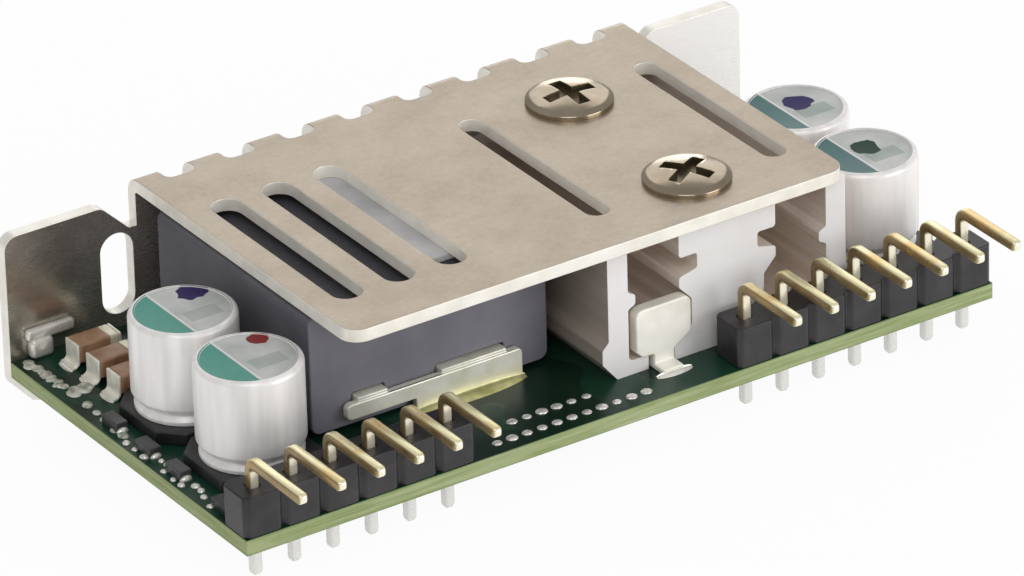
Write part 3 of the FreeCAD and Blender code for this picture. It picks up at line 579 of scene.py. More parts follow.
@dataclass
class Finishes:
    """Every finish that more than one sub-assembly uses, made once."""

    plate: Material = made(TinnedSheet(
        "tinned_plate", (0.53, 0.455, 0.37), (0.43, 0.36, 0.285), metallic=0.8, roughness=0.34))
    # the ears' finish paints a near-white highlight on the right ear's front face
    ear: Material = made(TinnedSheet(
        "tinned_ears", (0.66, 0.62, 0.56), (0.50, 0.46, 0.40), metallic=0.84, roughness=0.24, speck_share=0.6,
        right_front_highlight=(0.96, 0.95, 0.93), right_front_highlight_share=0.9))
    # sheared edges: bare metal, made near-white and less metallic as a painted highlight
    cut_edge_highlight: Material = made(BrightMetal(
        "sheared_edge_highlight", (0.94, 0.915, 0.85), (0.85, 0.81, 0.73), roughness=0.32, metallic=0.3))
    clip: Material = made(BrightMetal(
        "tinned_clip", (0.97, 0.95, 0.88), (0.88, 0.86, 0.77), roughness=0.36, metallic=0.2))
    nickel: Material = made(BrightMetal(
        "screw_nickel", (0.49, 0.415, 0.315), (0.37, 0.305, 0.22), roughness=0.14, scale=500.0, depth=0.003 * MM))
    # the cross recess is painted dark as shade
    recess: Material = made(BrightMetal(
        "screw_recess_shade", (0.20, 0.16, 0.10), (0.11, 0.09, 0.05), roughness=0.3, metallic=0.8))
    gold: Material = made(PinPlating())
    tin: Material = made(BrightMetal(
        "tinned_lead", (0.93, 0.91, 0.82), (0.76, 0.73, 0.62), roughness=0.3, metallic=0.3, scale=1500.0))
    strap: Material = made(BrightMetal(
        "tinned_strap", (0.95, 0.94, 0.85), (0.80, 0.79, 0.64), roughness=0.3, metallic=0.3,
        foot=(0.96, 0.91, 0.62)))
    dull_solder: Material = made(BrightMetal(
        "dull_solder", (0.78, 0.78, 0.70), (0.30, 0.33, 0.26), roughness=0.3, metallic=0.4, scale=2600.0,
        depth=0.06 * MM))
    solder: Material = made(BrightMetal(
        "solder", (0.93, 0.92, 0.87), (0.74, 0.73, 0.67), roughness=0.24, metallic=0.55, scale=1300.0,
        depth=0.02 * MM))
    flux_solder: Material = made(BrightMetal(
        "fluxed_solder", (0.74, 0.72, 0.40), (0.46, 0.46, 0.20), roughness=0.3, metallic=0.6, scale=900.0))
    header: Material = made(Moulding(
        "header_moulding", (0.014, 0.013, 0.015), (0.04, 0.036, 0.038), roughness=0.42, scale=1900.0))
    # the ferrite's top and left faces are darkened as painted shade
    ferrite: Material = made(Moulding(
        "ferrite", (0.185, 0.182, 0.215), (0.235, 0.228, 0.262), roughness=0.6, depth=0.014 * MM, top_painted_shade=0.7,
        left_painted_shade=0.48))
    rubber: Material = made(Moulding(
        "gap_filler", (0.40, 0.40, 0.41), (0.60, 0.60, 0.60), roughness=0.8, scale=900.0, depth=0.04 * MM))
    can_base: Material = made(Moulding(
        "can_base_moulding", (0.012, 0.012, 0.013), (0.03, 0.03, 0.032), roughness=0.4))
    chip: Material = made(Moulding(
        "chip_moulding", (0.03, 0.03, 0.033), (0.07, 0.07, 0.075), roughness=0.35, gloss=0.1))
    laminate: Material = made(BoardLaminate())


# ---------------------------------------------------------------- making pieces


@dataclass(frozen=True)
class Softening:
    """How the sharp edges of a piece are broken."""

    width: float = 0.06
    segments: int = 2
    angle: float = 32.0


def as_mesh(build: bmesh.types.BMesh, name: str) -> Mesh:
    """Turn a closed form's faces outwards and give it as a mesh.

    Args:
        build: the form, which is freed.
        name: the mesh's name.

    Returns:
        The mesh.
    """
    bmesh.ops.recalc_face_normals(build, faces=build.faces)
    mesh = bpy.data.meshes.new(name)
    build.to_mesh(mesh)
    build.free()
    return mesh


def stitch(build: bmesh.types.BMesh, one: Sequence[bmesh.types.BMVert], two: Sequence[bmesh.types.BMVert]) -> None:
    """Join two closed rings of as many corners with faces."""
    for step in range(len(one)):
        after = (step + 1) % len(one)
        build.faces.new((one[step], one[after], two[after], two[step]))


def tube(name: str, rings: Sequence[Sequence[Vector]]) -> Mesh:
    """Join rings of corners, given in millimetres, into a form with closed ends.

    Args:
        name: the mesh's name.
        rings: the rings in order, with as many corners each.

    Returns:
        The closed mesh.
    """
    build = bmesh.new()
    corners = [[build.verts.new(point * MM) for point in ring] for ring in rings]
    for one, two in zip(corners, corners[1:]):
        stitch(build, one, two)
    build.faces.new(corners[0])
    build.faces.new(list(reversed(corners[-1])))
    return as_mesh(build, name)


def link(name: str, mesh: Mesh) -> Piece:
    """Show a mesh as an object of its own.

    Args:
        name: the object's name.
        mesh: its mesh.

    Returns:
        The object.
    """
    piece = bpy.data.objects.new(name, mesh)
    bpy.context.scene.collection.objects.link(piece)
    return piece


def bake(piece: Piece) -> None:
    """Turn a piece's modifiers into a plain mesh.

    Args:
        piece: the piece, which keeps no modifier.
    """
    bpy.context.view_layer.update()
    graph = bpy.context.evaluated_depsgraph_get()
    mesh = bpy.data.meshes.new_from_object(piece.evaluated_get(graph))
    piece.modifiers.clear()
    piece.data = mesh


def merged(node: str) -> Mesh:
    """Copy a node's loose triangles and join them into whole faces.

    Args:
        node: the node's name.

    Returns:
        The joined mesh.
    """
    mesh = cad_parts[node].data.copy()
    mesh.materials.clear()
    build = bmesh.new()
    build.from_mesh(mesh)
    bmesh.ops.remove_doubles(build, verts=build.verts, dist=0.002 * MM)
    bmesh.ops.dissolve_limit(build, angle_limit=math.radians(0.8), verts=build.verts, edges=build.edges)
    build.to_mesh(mesh)
    build.free()
    return mesh


def smooth(mesh: Mesh, angle: float = 40.0) -> None:
    """Shade a mesh smooth apart from its sharp edges."""
    for face in mesh.polygons:
        face.use_smooth = True
    mesh.set_sharp_from_angle(angle=math.radians(angle))


def register(piece: Piece, slot: str, *nodes: str) -> Piece:
    """Ride a piece on the body, hide the nodes that it stands for, and log it with its slot's name.

    Args:
        piece: the finished piece.
        slot: the record's material slot.
        nodes: the nodes that it replaces.

    Returns:
        The piece.
    """
    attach(piece, BODY)
    if nodes:
        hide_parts(*nodes)
    LOG.info("%s: %d faces, slot %s", piece.name, len(piece.data.polygons), slot)
    return piece


def finished(name: str, mesh: Mesh, finish: Material, slot: str, *nodes: str,
             angle: float = 40.0) -> Piece:
    """Smooth a mesh made here, give it its finish and register it.

    Args:
        name: the piece's name.
        mesh: its mesh.
        finish: its material.
        slot: the record's material slot.
        nodes: the nodes that it replaces.
        angle: edges sharper than this stay sharp.

    Returns:
        The piece.
    """
    smooth(mesh, angle)
    mesh.materials.append(finish)
    return register(link(name, mesh), slot, *nodes)


def dress(node: str, slot: str, materials: Sequence[Material], softening: Softening = Softening(),
          zone: Optional[Zone] = None, shaped: Optional[Mesh] = None) -> Piece:
    """Give a node a copy with broken edges and its finishes.

    Args:
        node: the node to stand for.
        slot: its material slot in the record.
        materials: its finishes.
        softening: how its edges are broken.
        zone: picks the finish of a face from its middle and normal.
        shaped: the node's mesh where it has been shaped already.

    Returns:
        The dressed piece.
    """
    piece = link(node + "_finished", shaped or merged(node))
    bevel = piece.modifiers.new("broken_edges", "BEVEL")
    bevel.width = softening.width * MM
    bevel.segments = softening.segments
    bevel.limit_method = "ANGLE"
    bevel.angle_limit = math.radians(softening.angle)
    bevel.miter_outer = "MITER_ARC"
    bevel.harden_normals = False
    smooth(piece.data, softening.angle)
    weights = piece.modifiers.new("weights", "WEIGHTED_NORMAL")
    weights.keep_sharp = True
    bake(piece)
    mesh = piece.data
    mesh.materials.clear()
    for material in materials:
        mesh.materials.append(material)
    for face in mesh.polygons:
        face.material_index = zone(face.center, face.normal) if zone else 0
    return register(piece, slot, node)


def turned(name: str, profile: Sequence[tuple[float, float]], centre: tuple[float, float],
           segments: int = 96) -> Mesh:
    """Turn a profile about an upright axis.

    Args:
        name: the mesh's name.
        profile: radius and height of each corner, from the lowest pole to the top one, in millimetres.
        centre: the axis, in metres.
        segments: how many faces go round.

    Returns:
        The closed mesh.
    """
    build = bmesh.new()
    rings = []
    for radius, height in profile:
        count = 1 if radius == 0 else segments
        rings.append([build.verts.new((
            centre[0] + radius * MM * math.cos(2 * math.pi * step / count),
            centre[1] + radius * MM * math.sin(2 * math.pi * step / count),
            height * MM)) for step in range(count)])
    for low, high in zip(rings, rings[1:]):
        for step in range(segments):
            after = (step + 1) % segments
            corners = [low[step % len(low)], low[after % len(low)], high[after % len(high)], high[step % len(high)]]
            build.faces.new(list(dict.fromkeys(corners)))
    return as_mesh(build, name)


def rounded(corners: Sequence[tuple[float, float]], radii: Sequence[float],
            steps: int = 5) -> list[tuple[float, float]]:
    """Round the corners of an open profile.

    Args:
        corners: the profile.
        radii: the radius at each corner, 0 for a sharp one.
        steps: how many pieces each arc has.

    Returns:
        The rounded profile.
    """
    points = []
    for index, (corner, radius) in enumerate(zip(corners, radii)):
        if radius == 0 or index in (0, len(corners) - 1):
            points.append(corner)
            continue
        here = Vector(corner)
        before = (Vector(corners[index - 1]) - here).normalized()
        after = (Vector(corners[index + 1]) - here).normalized()
        half = before.angle(after) / 2
        setback = radius / math.tan(half)
        middle = here + (before + after).normalized() * (radius / math.sin(half))
        start = here + before * setback - middle
        end = here + after * setback - middle
        sweep = start.angle(end)
        for step in range(steps + 1):
            part = step / steps
            spoke = (start * math.sin((1 - part) * sweep) + end * math.sin(part * sweep)) / math.sin(sweep)
            points.append(tuple(middle + spoke))
    return points


def fillet(name: str, start: Vector, end: Vector, outwards: Vector, width: float, height: float,
           steps: int = 14) -> Mesh:
    """Make a run of solder with a hollow face, in the corner between two surfaces.

    Args:
        name: the mesh's name.
        start: one end of the corner line, in millimetres.
        end: its other end.
        outwards: level direction away from the standing surface.
        width: how far it spreads at the middle.
        height: how far it climbs at the middle.
        steps: how many slices the run has.

    Returns:
        The closed mesh.
    """
    arc, tip, fullness, hollow = 6, 0.02, 0.35, 1.7
    slices = []
    for index in range(steps + 1):
        part = index / steps
        swell = math.sin(math.pi * min(max(part, tip), 1 - tip)) ** fullness
        base = start.lerp(end, part)
        shares = [step / arc for step in range(arc + 1)]
        slices.append([base] + [base + outwards * (width * swell * (1 - share) ** hollow)
                                + UP * (height * swell * share ** hollow) for share in shares])
    return tube(name, slices)


def bead(name: str, low: Vector, high: Vector, radius: float) -> Mesh:
    """Make a rounded bead of solder that fills a box.

    Args:
        name: the mesh's name.
        low: the box's lowest corner, in millimetres.
        high: its highest corner.
        radius: how much its edges are rounded.

    Returns:
        The closed mesh.
    """
    build = bmesh.new()
    size = high - low
    bmesh.ops.create_cube(build, size=1.0,
                          matrix=Matrix.Translation((low + high) / 2) @ Matrix.Diagonal((*size, 1.0)))
    bmesh.ops.bevel(build, geom=build.edges[:], offset=radius, segments=5, profile=0.5, affect="EDGES",
                    clamp_overlap=True)
    bmesh.ops.scale(build, vec=(MM, MM, MM), verts=build.verts)
    return as_mesh(build, name)


@dataclass(frozen=True)
class Wire:
    """A square wire with rounded corners and ends, bent once from upright to level."""

    x: float
    row: float
    tail: float
    arm: float
    tip: float
    half: float
    corner: float = 0.17
    bend: float = 0.58
    arc_steps: int = 8

    def stations(self) -> list[tuple[Vector, Vector, float]]:
        """Give the middle, direction and scale of each section.

        Returns:
            The sections from the tail to the tip.
        """
        ends = ((0.0, 0.42), (0.05, 0.68), (0.13, 0.88), (0.26, 1.0))
        found = [(Vector((self.x, self.row, self.tail + far)), UP, scale) for far, scale in ends]
        centre = Vector((self.x, self.row - self.bend, self.arm - self.bend))
        for step in range(self.arc_steps + 1):
            angle = math.pi / 2 * step / self.arc_steps
            spoke = Vector((0, math.cos(angle), math.sin(angle)))
            found.append((centre + spoke * self.bend, Vector((0, -math.sin(angle), math.cos(angle))), 1.0))
        found += [(Vector((self.x, self.tip + far, self.arm)), FORWARDS, scale) for far, scale in reversed(ends)]
        return found

    def section(self) -> list[tuple[float, float]]:
        """Give the rounded square's points.

        Returns:
            The points, in millimetres from the wire's middle.
        """
        flat = self.half - self.corner
        points = []
        for across, along, first in ((1, 1, 0), (-1, 1, 1), (-1, -1, 2), (1, -1, 3)):
            for step in range(4):
                angle = math.pi / 2 * (first + step / 3)
                points.append((across * flat + self.corner * math.cos(angle),
                               along * flat + self.corner * math.sin(angle)))
        return points

    def mesh(self, name: str) -> Mesh:
        """Sweep the section along the wire.

        Args:
            name: the mesh's name.

        Returns:
            The closed mesh.
        """
        rings = []
        for middle, direction, scale in self.stations():
            normal = RIGHT.cross(direction)
            rings.append([middle + RIGHT * (u * scale) + normal * (v * scale) for u, v in self.section()])
        return tube(name, rings)


@dataclass(frozen=True)
class Spot:
    """One place where a small dome of solder sits."""

    place: Triple
    size: Triple
    turn: float = 0.0
    hangs: bool = False


@dataclass
class DomeTree:
    """Geometry tree that sets a small flat-footed dome on every point of a mesh."""

    name: str = "solder_domes"
    round_faces: int = 18
    tall_faces: int = 10
    tree: bpy.types.NodeTree = field(init=False)

    def __post_init__(self) -> None:
        """Build the tree once."""
        self.tree = bpy.data.node_groups.new(self.name, "GeometryNodeTree")
        for socket, kind in (("Geometry", "Geometry"), ("Spread", "Float"), ("Seed", "Int"), ("Finish", "Material")):
            self.tree.interface.new_socket(socket, in_out="INPUT", socket_type="NodeSocket" + kind)
        self.tree.interface.new_socket("Geometry", in_out="OUTPUT", socket_type="NodeSocketGeometry")
        given = add(self.tree, "NodeGroupInput").outputs
        turning = add(self.tree, "FunctionNodeEulerToRotation", {0: self.attribute("spot_turn")})
        sown = add(self.tree, "GeometryNodeInstanceOnPoints", {
            "Points": given["Geometry"], "Instance": self.dome(), "Rotation": turning.outputs[0],
            "Scale": self.sized(given)})
        real = add(self.tree, "GeometryNodeRealizeInstances", {0: sown.outputs[0]})
        even = add(self.tree, "GeometryNodeSetShadeSmooth", {0: real.outputs[0]})
        dressed = add(self.tree, "GeometryNodeSetMaterial", {0: even.outputs[0], "Material": given["Finish"]})
        add(self.tree, "NodeGroupOutput", {0: dressed.outputs[0]})

    def attribute(self, name: str) -> Socket:
        """Read a vector that the points carry."""
        return add(self.tree, "GeometryNodeInputNamedAttribute", {"Name": name},
                   data_type="FLOAT_VECTOR").outputs["Attribute"]

    def dome(self) -> Socket:
        """Give a ball whose lower half is pressed flat.

        Returns:
            The ball's geometry.
        """
        ball = add(self.tree, "GeometryNodeMeshUVSphere", {"Segments": self.round_faces, "Rings": self.tall_faces,
                                                           "Radius": 1.0})
        place = add(self.tree, "GeometryNodeInputPosition")
        parts = add(self.tree, "ShaderNodeSeparateXYZ", {0: place.outputs[0]}).outputs
        floor = add(self.tree, "ShaderNodeMath", {0: parts[2], 1: 0.0}, operation="MAXIMUM")
        joined = add(self.tree, "ShaderNodeCombineXYZ", {0: parts[0], 1: parts[1], 2: floor.outputs[0]})
        return add(self.tree, "GeometryNodeSetPosition", {"Geometry": ball.outputs[0],
                                                          "Position": joined.outputs[0]}).outputs[0]

    def sized(self, given: bpy.types.bpy_prop_collection) -> Socket:
        """Give each point's size, made smaller by up to the spread.

        Args:
            given: the tree's inputs.

        Returns:
            The sizes.
        """
        low = add(self.tree, "ShaderNodeMath", {0: 1.0, 1: given["Spread"]}, operation="SUBTRACT")
        luck = add(self.tree, "FunctionNodeRandomValue", {2: low.outputs[0], 3: 1.0, "Seed": given["Seed"]},
                   data_type="FLOAT")
        return add(self.tree, "ShaderNodeVectorMath", {0: self.attribute("spot_size"), "Scale": luck.outputs[1]},
                   operation="SCALE").outputs[0]

    def sow(self, name: str, spots: Sequence[Spot], finish: Material, spread: float, seed: int,
            slot: str) -> Piece:
        """Set a dome on each spot and keep the result as one plain piece.

        Args:
            name: the piece's name.
            spots: where the domes sit and how large they are, in millimetres.
            finish: their material.
            spread: how much smaller some of them are.
            seed: fixes that spread.
            slot: the record's material slot.

        Returns:
            The finished piece.
        """
        mesh = bpy.data.meshes.new(name)
        mesh.from_pydata([tuple(v * MM for v in spot.place) for spot in spots], [], [])
        for title in ("spot_size", "spot_turn"):
            mesh.attributes.new(title, "FLOAT_VECTOR", "POINT")
        for index, spot in enumerate(spots):
            mesh.attributes["spot_size"].data[index].vector = [v * MM for v in spot.size]
            over = math.pi if spot.hangs else 0.0
            mesh.attributes["spot_turn"].data[index].vector = (over, 0.0, math.radians(spot.turn))
        piece = link(name, mesh)
        modifier = piece.modifiers.new(self.name, "NODES")
        modifier.node_group = self.tree
        given = {"Spread": spread, "Seed": seed, "Finish": finish}
        for item in self.tree.interface.items_tree:
            if item.in_out == "INPUT" and item.name in given:
                modifier[item.identifier] = given[item.name]
        bake(piece)
        return register(piece, slot)


# ---------------------------------------------------------------- sub-assemblies


def limits(node: str) -> tuple[Vector, Vector]:
    """Lowest and highest corners of a node, in millimetres."""
    low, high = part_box(node)
    return Vector(low) / MM, Vector(high) / MM


def board_top() -> float:
    """Height of the circuit board's upper face, in millimetres."""
    return limits("circuit_board")[1].z


@dataclass(frozen=True)
class ViaRow:
    """A straight row of solder-filled holes."""

    first: float
    pitch: float
    y: float
    count: int


@dataclass
class CircuitBoard:
    """The laminate with its rows of small pads, vias and solder joints."""

    finishes: Finishes
    domes: DomeTree
    corner_run: tuple[float, ...] = (-24.75, 12.0, -24.5, 8.35)
    corner_count: int = 17
    corner_spread: float = 0.22
    corner_sizes: tuple[tuple[float, float], ...] = ((0.22, 0.42), (0.26, 0.48), (0.08, 0.18))
    corner_turn: float = 60.0
    middle_pads: tuple[tuple[float, float], ...] = ((-24.50, 5.7), (-24.54, 4.6), (-24.54, 3.55), (-24.80, 2.3),
                                                    (-24.72, 1.45))
    edge_pads: tuple[tuple[float, float], ...] = ((-25.02, 0.6), (-25.03, -0.3), (-25.05, -1.35), (-24.50, -2.3),
                                                  (-24.45, -2.9), (-25.03, -3.4), (-25.08, -4.5), (-25.05, -5.3),
                                                  (-24.48, -5.9), (-24.48, -6.5), (-24.74, -7.2), (-25.02, -8.3))
    middle_size: Triple = (0.36, 0.46, 0.22)
    edge_size: Triple = (0.27, 0.32, 0.22)
    pad_turn: float = 25.0
    wide_place: tuple[float, float] = (1.0, -5.35)
    wide_step: tuple[float, float] = (0.33, 0.3)
    wide_size: Triple = (0.5, 0.6, 0.11)
    wide_rise: float = 0.02
    wide_turn: float = 20.0
    wide_count: int = 4
    via_rows: tuple[ViaRow, ...] = (ViaRow(-6.16, 1.008, -10.10, 6), ViaRow(-8.19, 1.012, -11.66, 11))
    via_size: Triple = (0.40, 0.34, 0.17)

    def build(self) -> None:
        """Dress the board and sow its solder."""
        dress("circuit_board", "board_laminate", [self.finishes.laminate], Softening(0.04, 1))
        low, high = limits("circuit_board")
        top = high.z
        luck = random.Random(6)
        x1, y1, x2, y2 = self.corner_run
        ragged = []
        for index in range(self.corner_count):
            part = index / (self.corner_count - 1)
            x = x1 + (x2 - x1) * part + luck.uniform(-self.corner_spread, self.corner_spread)
            size = tuple(luck.uniform(least, most) for least, most in self.corner_sizes)
            turn = luck.uniform(-self.corner_turn, self.corner_turn)
            ragged.append(Spot((x, y1 + (y2 - y1) * part, top), size, turn))
        self.domes.sow("corner_pads", ragged, self.finishes.dull_solder, 0.3, 4, "lead_tin")
        for name, places, size, finish in (
                ("middle_pads", self.middle_pads, self.middle_size, self.finishes.dull_solder),
                ("edge_pads", self.edge_pads, self.edge_size, self.finishes.solder)):
            spots = [Spot((x, y, top), size, self.pad_turn * (index % 3 - 1)) for index, (x, y) in enumerate(places)]
            self.domes.sow(name, spots, finish, 0.35, 4, "lead_tin")
        x, y = low.x + self.wide_place[0], high.y + self.wide_place[1]
        wide = [Spot((x + self.wide_step[0] * step, y + self.wide_step[1] * (step % 2), top),
                     (*self.wide_size[:2], self.wide_size[2] + self.wide_rise * step), self.wide_turn * step)
                for step in range(self.wide_count)]
        self.domes.sow("wide_pad", wide, self.finishes.dull_solder, 0.2, 1, "lead_tin")
        vias = [Spot((row.first + row.pitch * index, row.y, top), self.via_size)
                for row in self.via_rows for index in range(row.count)]
        self.domes.sow("filled_vias", vias, self.finishes.solder, 0.25, 9, "lead_tin")


@dataclass
class PinHeader:
    """One moulded strip and its bent pins, each with a solder joint under the board."""

    side: str
    count: int
    finishes: Finishes
    domes: DomeTree
    joint_radius: float = 0.88
    joint_height: float = 0.62
    row_inset: float = 1.27

    def build(self) -> None:
        """Dress the strip and the pins and solder them in."""
        dress(self.side + "_header_housing", "header_plastic", [self.finishes.header], Softening(0.09, 2))
        joints = []
        for number in range(1, self.count + 1):
            node = "%s_pin_%d" % (self.side, number)
            low, high = limits(node)
            half, middle = (high.x - low.x) / 2, (low.x + high.x) / 2
            wire = Wire(middle, high.y - half, low.z, high.z - half, low.y, half)
            name = node + "_finished"
            finished(name, wire.mesh(name), self.finishes.gold, "pin_gold", node, angle=50.0)
            joints.append(Spot((middle, limits("circuit_board")[0].y + self.row_inset, 0.0),
                               (self.joint_radius, self.joint_radius, self.joint_height), hangs=True))
        self.domes.sow(self.side + "_pin_joints", joints, self.finishes.solder, 0.1, 3, "lead_tin")


@dataclass
class HeatSpreader:
    """The folded sheet: satin plate, brighter wall and ears with a painted highlight on the right ear's front, bare
    sheared edges made near-white as a painted highlight, and solder at the left ear.
    """

    finishes: Finishes
    plate_from: float = 8.94
    bend_start: float = 12.1
    joints: tuple[tuple[str, Triple, Triple, float], ...] = (
        ("ear_joint_run", (0.95, -0.52, 1.05), (4.15, 0.05, 1.8), 0.26),
        ("ear_joint_foot", (1.1, -0.72, -0.02), (2.6, 0.05, 1.2), 0.3))

    def zone(self, middle: Vector, normal: Vector) -> int:
        """Pick plate, ear or sheared edge, whose finish carries a painted highlight, for a face.

        Args:
            middle: the face's middle.
            normal: the way that it faces.

        Returns:
            The finish's place in the list.
        """
        steep = 0.8
        if abs(normal.x) > steep:
            return 2
        on_plate = middle.z > self.plate_from * MM
        if on_plate and middle.y < self.bend_start * MM:
            return 0 if abs(normal.z) > steep else 2
        if on_plate:
            return 0
        if middle.z > 0.0:
            return 1 if abs(normal.y) > steep else 2
        return 1 if abs(normal.z) > steep else 2

    def build(self) -> None:
        """Dress the sheet and solder its left ear."""
        dress("heat_spreader", "tinned_sheet", [self.finishes.plate, self.finishes.ear, self.finishes.cut_edge_highlight],
              Softening(0.10, 3), self.zone)
        low, high = limits("circuit_board")
        corner = Vector((low.x, high.y, high.z))
        for name, start, end, radius in self.joints:
            finished(name, bead(name, corner + Vector(start), corner + Vector(end), radius), self.finishes.solder,
                     "lead_tin", angle=60.0)


@dataclass
class HeatChannel:
    """The extruded channel, its clip and the clip's solder."""

    finishes: Finishes
    joint_left: float = 1.15
    joint_right: float = 1.25
    joint_lap: float = 0.05
    joint_width: float = 0.42
    joint_height: float = 0.26

    def build(self) -> None:
        """Dress the channel and the clip and solder the clip down."""
        near, far = limits("heat_channel")
        aluminium = ExtrudedAluminium(centre=(near.x + far.x) / 2 * MM).make()
        dress("heat_channel", "extruded_aluminium", [aluminium], Softening(0.07, 2))
        dress("hold_down_clip", "tinned_clip", [self.finishes.clip], Softening(0.09, 3))
        low, high = limits("hold_down_clip")
        top = board_top()
        middle, front = (low.x + high.x) / 2, low.y + self.joint_lap
        joint = fillet("clip_joint", Vector((middle - self.joint_left, front, top)),
                       Vector((middle + self.joint_right, front, top)), FORWARDS, self.joint_width, self.joint_height)
        finished("clip_joint", joint, self.finishes.solder, "lead_tin")


@dataclass
class Screw:
    """One low-headed screw in the plate, with a domed top and a cross recess painted dark as shade."""

    node: str
    finishes: Finishes
    recess_radius: float = 1.66
    recess_depth: float = 0.06
    dome: float = 0.34
    grid: float = 0.24
    top_layer: float = 0.1
    rim_height: float = 0.5

    def domed(self, axis: Vector, radius: float) -> Mesh:
        """Cut the head's top into a grid and lower it towards the rim.

        Args:
            axis: the middle of the head's top, in millimetres.
            radius: the head's radius.

        Returns:
            The domed mesh.
        """
        mesh = merged(self.node)
        build = bmesh.new()
        build.from_mesh(mesh)
        cuts = int(radius / self.grid)
        for direction in (RIGHT, -FORWARDS):
            for step in range(-cuts, cuts + 1):
                level = (axis.z - self.top_layer) * MM
                head = [face for face in build.faces if face.calc_center_median().z > level]
                edges = list({edge for face in head for edge in face.edges})
                points = list({point for face in head for point in face.verts})
                bmesh.ops.bisect_plane(build, geom=head + edges + points, dist=1e-8,
                                       plane_co=(axis + direction * (step * self.grid)) * MM, plane_no=direction)
        for point in build.verts:
            off = point.co / MM - axis
            if off.z > -self.rim_height:
                share = min(math.hypot(off.x, off.y) / radius, 1.0) ** 2
                point.co.z -= self.dome * MM * share * (1.0 + off.z / self.rim_height)
        build.to_mesh(mesh)
        build.free()
        return mesh

    def build(self) -> None:
        """Shape and dress the screw."""
        low, high = limits(self.node)
        axis = Vector(((low.x + high.x) / 2, (low.y + high.y) / 2, high.z))

        def zone(middle: Vector, normal: Vector) -> int:
            """Pick the recess's finish, painted dark as shade, for a face inside it.

            Args:
                middle: the face's middle.
                normal: the way that it faces, which doesn't matter here.

            Returns:
                The finish's place in the list.
            """
            off = middle / MM - axis
            reach = math.hypot(off.x, off.y)
            floor = -self.recess_depth - self.dome * (reach / radius) ** 2
            return 1 if reach < self.recess_radius and off.z < floor else 0

        radius = (high.x - low.x) / 2
        dress(self.node, "screw_nickel", [self.finishes.nickel, self.finishes.recess], Softening(0.05, 2, 38.0), zone,
              self.domed(axis, radius))


@dataclass
class Inductor:
    """The ferrite block, its flat strap, the gap filler and the strap's solder."""

    finishes: Finishes
    joint_past: float = 0.1
    joint_length: float = 7.2
    joint_lap: float = 0.02
    joint_width: float = 0.85
    joint_height: float = 0.35

    def build(self) -> None:
        """Dress the inductor and solder its tab down."""
        dress("inductor_core", "ferrite", [self.finishes.ferrite], Softening(0.10, 2))
        dress("inductor_winding", "tinned_strap", [self.finishes.strap], Softening(0.08, 3))
        dress("thermal_pad", "thermal_rubber", [self.finishes.rubber], Softening(0.12, 3))
        low, high = limits("inductor_winding")
        top = board_top()
        right, front = high.x + self.joint_past, low.y + self.joint_lap
        joint = fillet("strap_joint", Vector((right - self.joint_length, front, top)), Vector((right, front, top)),
                       FORWARDS, self.joint_width, self.joint_height)
        finished("strap_joint", joint, self.finishes.flux_solder, "lead_tin")


@dataclass
class CanCapacitor:
    """One rolled can on its moulded base."""

    name: str
    finishes: Finishes
    domes: DomeTree
    spot: Colour
    spot_place: tuple[float, float]
    spot_radius: float
    ink: Colour
    segment: Colour
    lid_step: float = 0.05
    rim: float = 0.42
    foot_inset: float = 0.15
    foot_height: float = 0.25
    neck_height: float = 0.6
    shoulder_height: float = 1.0
    radii: tuple[float, ...] = (0, 0.06, 0.08, 0.16, 0.2, 0.34, 0.02, 0.02, 0)
    leg_gap: float = 0.32
    leg_size: Triple = (0.55, 0.42, 0.2)

    def build(self) -> None:
        """Turn the can, dress its base and solder its two legs."""
        dress(self.name + "_base", "can_base_plastic", [self.finishes.can_base], Softening(0.08, 2))
        node = self.name + "_can"
        low, high = limits(node)
        centre = ((low.x + high.x) / 2 * MM, (low.y + high.y) / 2 * MM)
        radius, foot, top = (high.x - low.x) / 2, low.z, high.z
        inner, sole, lid_level = radius - self.rim, radius - self.foot_inset, top - self.lid_step
        corners = [(0.0, foot), (sole, foot), (sole, foot + self.foot_height), (inner, foot + self.neck_height),
                   (radius, foot + self.shoulder_height), (radius, top), (inner, top), (inner, lid_level),
                   (0.0, lid_level)]
        profile = rounded(corners, self.radii)
        place = (self.spot_place[0] * MM, self.spot_place[1] * MM)
        lid = CanPrint(self.name + "_print", centre, top * MM, self.spot, place, self.spot_radius * MM, self.ink,
                       self.segment)
        finished(node + "_finished", turned(node, profile, centre), lid.make(), "can_aluminium", node)
        x, y = centre[0] / MM, centre[1] / MM
        legs = [Spot((x, y + side * (radius + self.leg_gap), board_top()), self.leg_size) for side in (-1, 1)]
        self.domes.sow(self.name + "_legs", legs, self.finishes.solder, 0.1, 5, "lead_tin")


@dataclass
class CeramicCapacitor:
    """One ceramic block between its two lead frames."""

    number: int
    finishes: Finishes
    cap_width: float = 0.6
    joint_width: float = 0.28
    joint_height: float = 0.15

    def build(self) -> None:
        """Dress the block and the leads and solder the feet."""
        label = "ceramic_%d" % self.number
        body = label + "_body"
        ceramic = MetallisedCeramic(label + "_ceramic", (limits(body)[1].x - self.cap_width) * MM).make()
        dress(body, "ceramic_brown", [ceramic], Softening(0.12, 3))
        top = board_top()
        for side, outwards in (("left", -1), ("right", 1)):
            node = "%s_%s_lead" % (label, side)
            dress(node, "lead_tin", [self.finishes.tin], Softening(0.045, 2))
            low, high = limits(node)
            edge = low.x if side == "left" else high.x
            start, end = Vector((edge, low.y, top)), Vector((edge, high.y, top))
            name = node + "_joint"
            joint = fillet(name, start, end, Vector((outwards, 0, 0)), self.joint_width, self.joint_height)
            finished(name, joint, self.finishes.solder, "lead_tin")


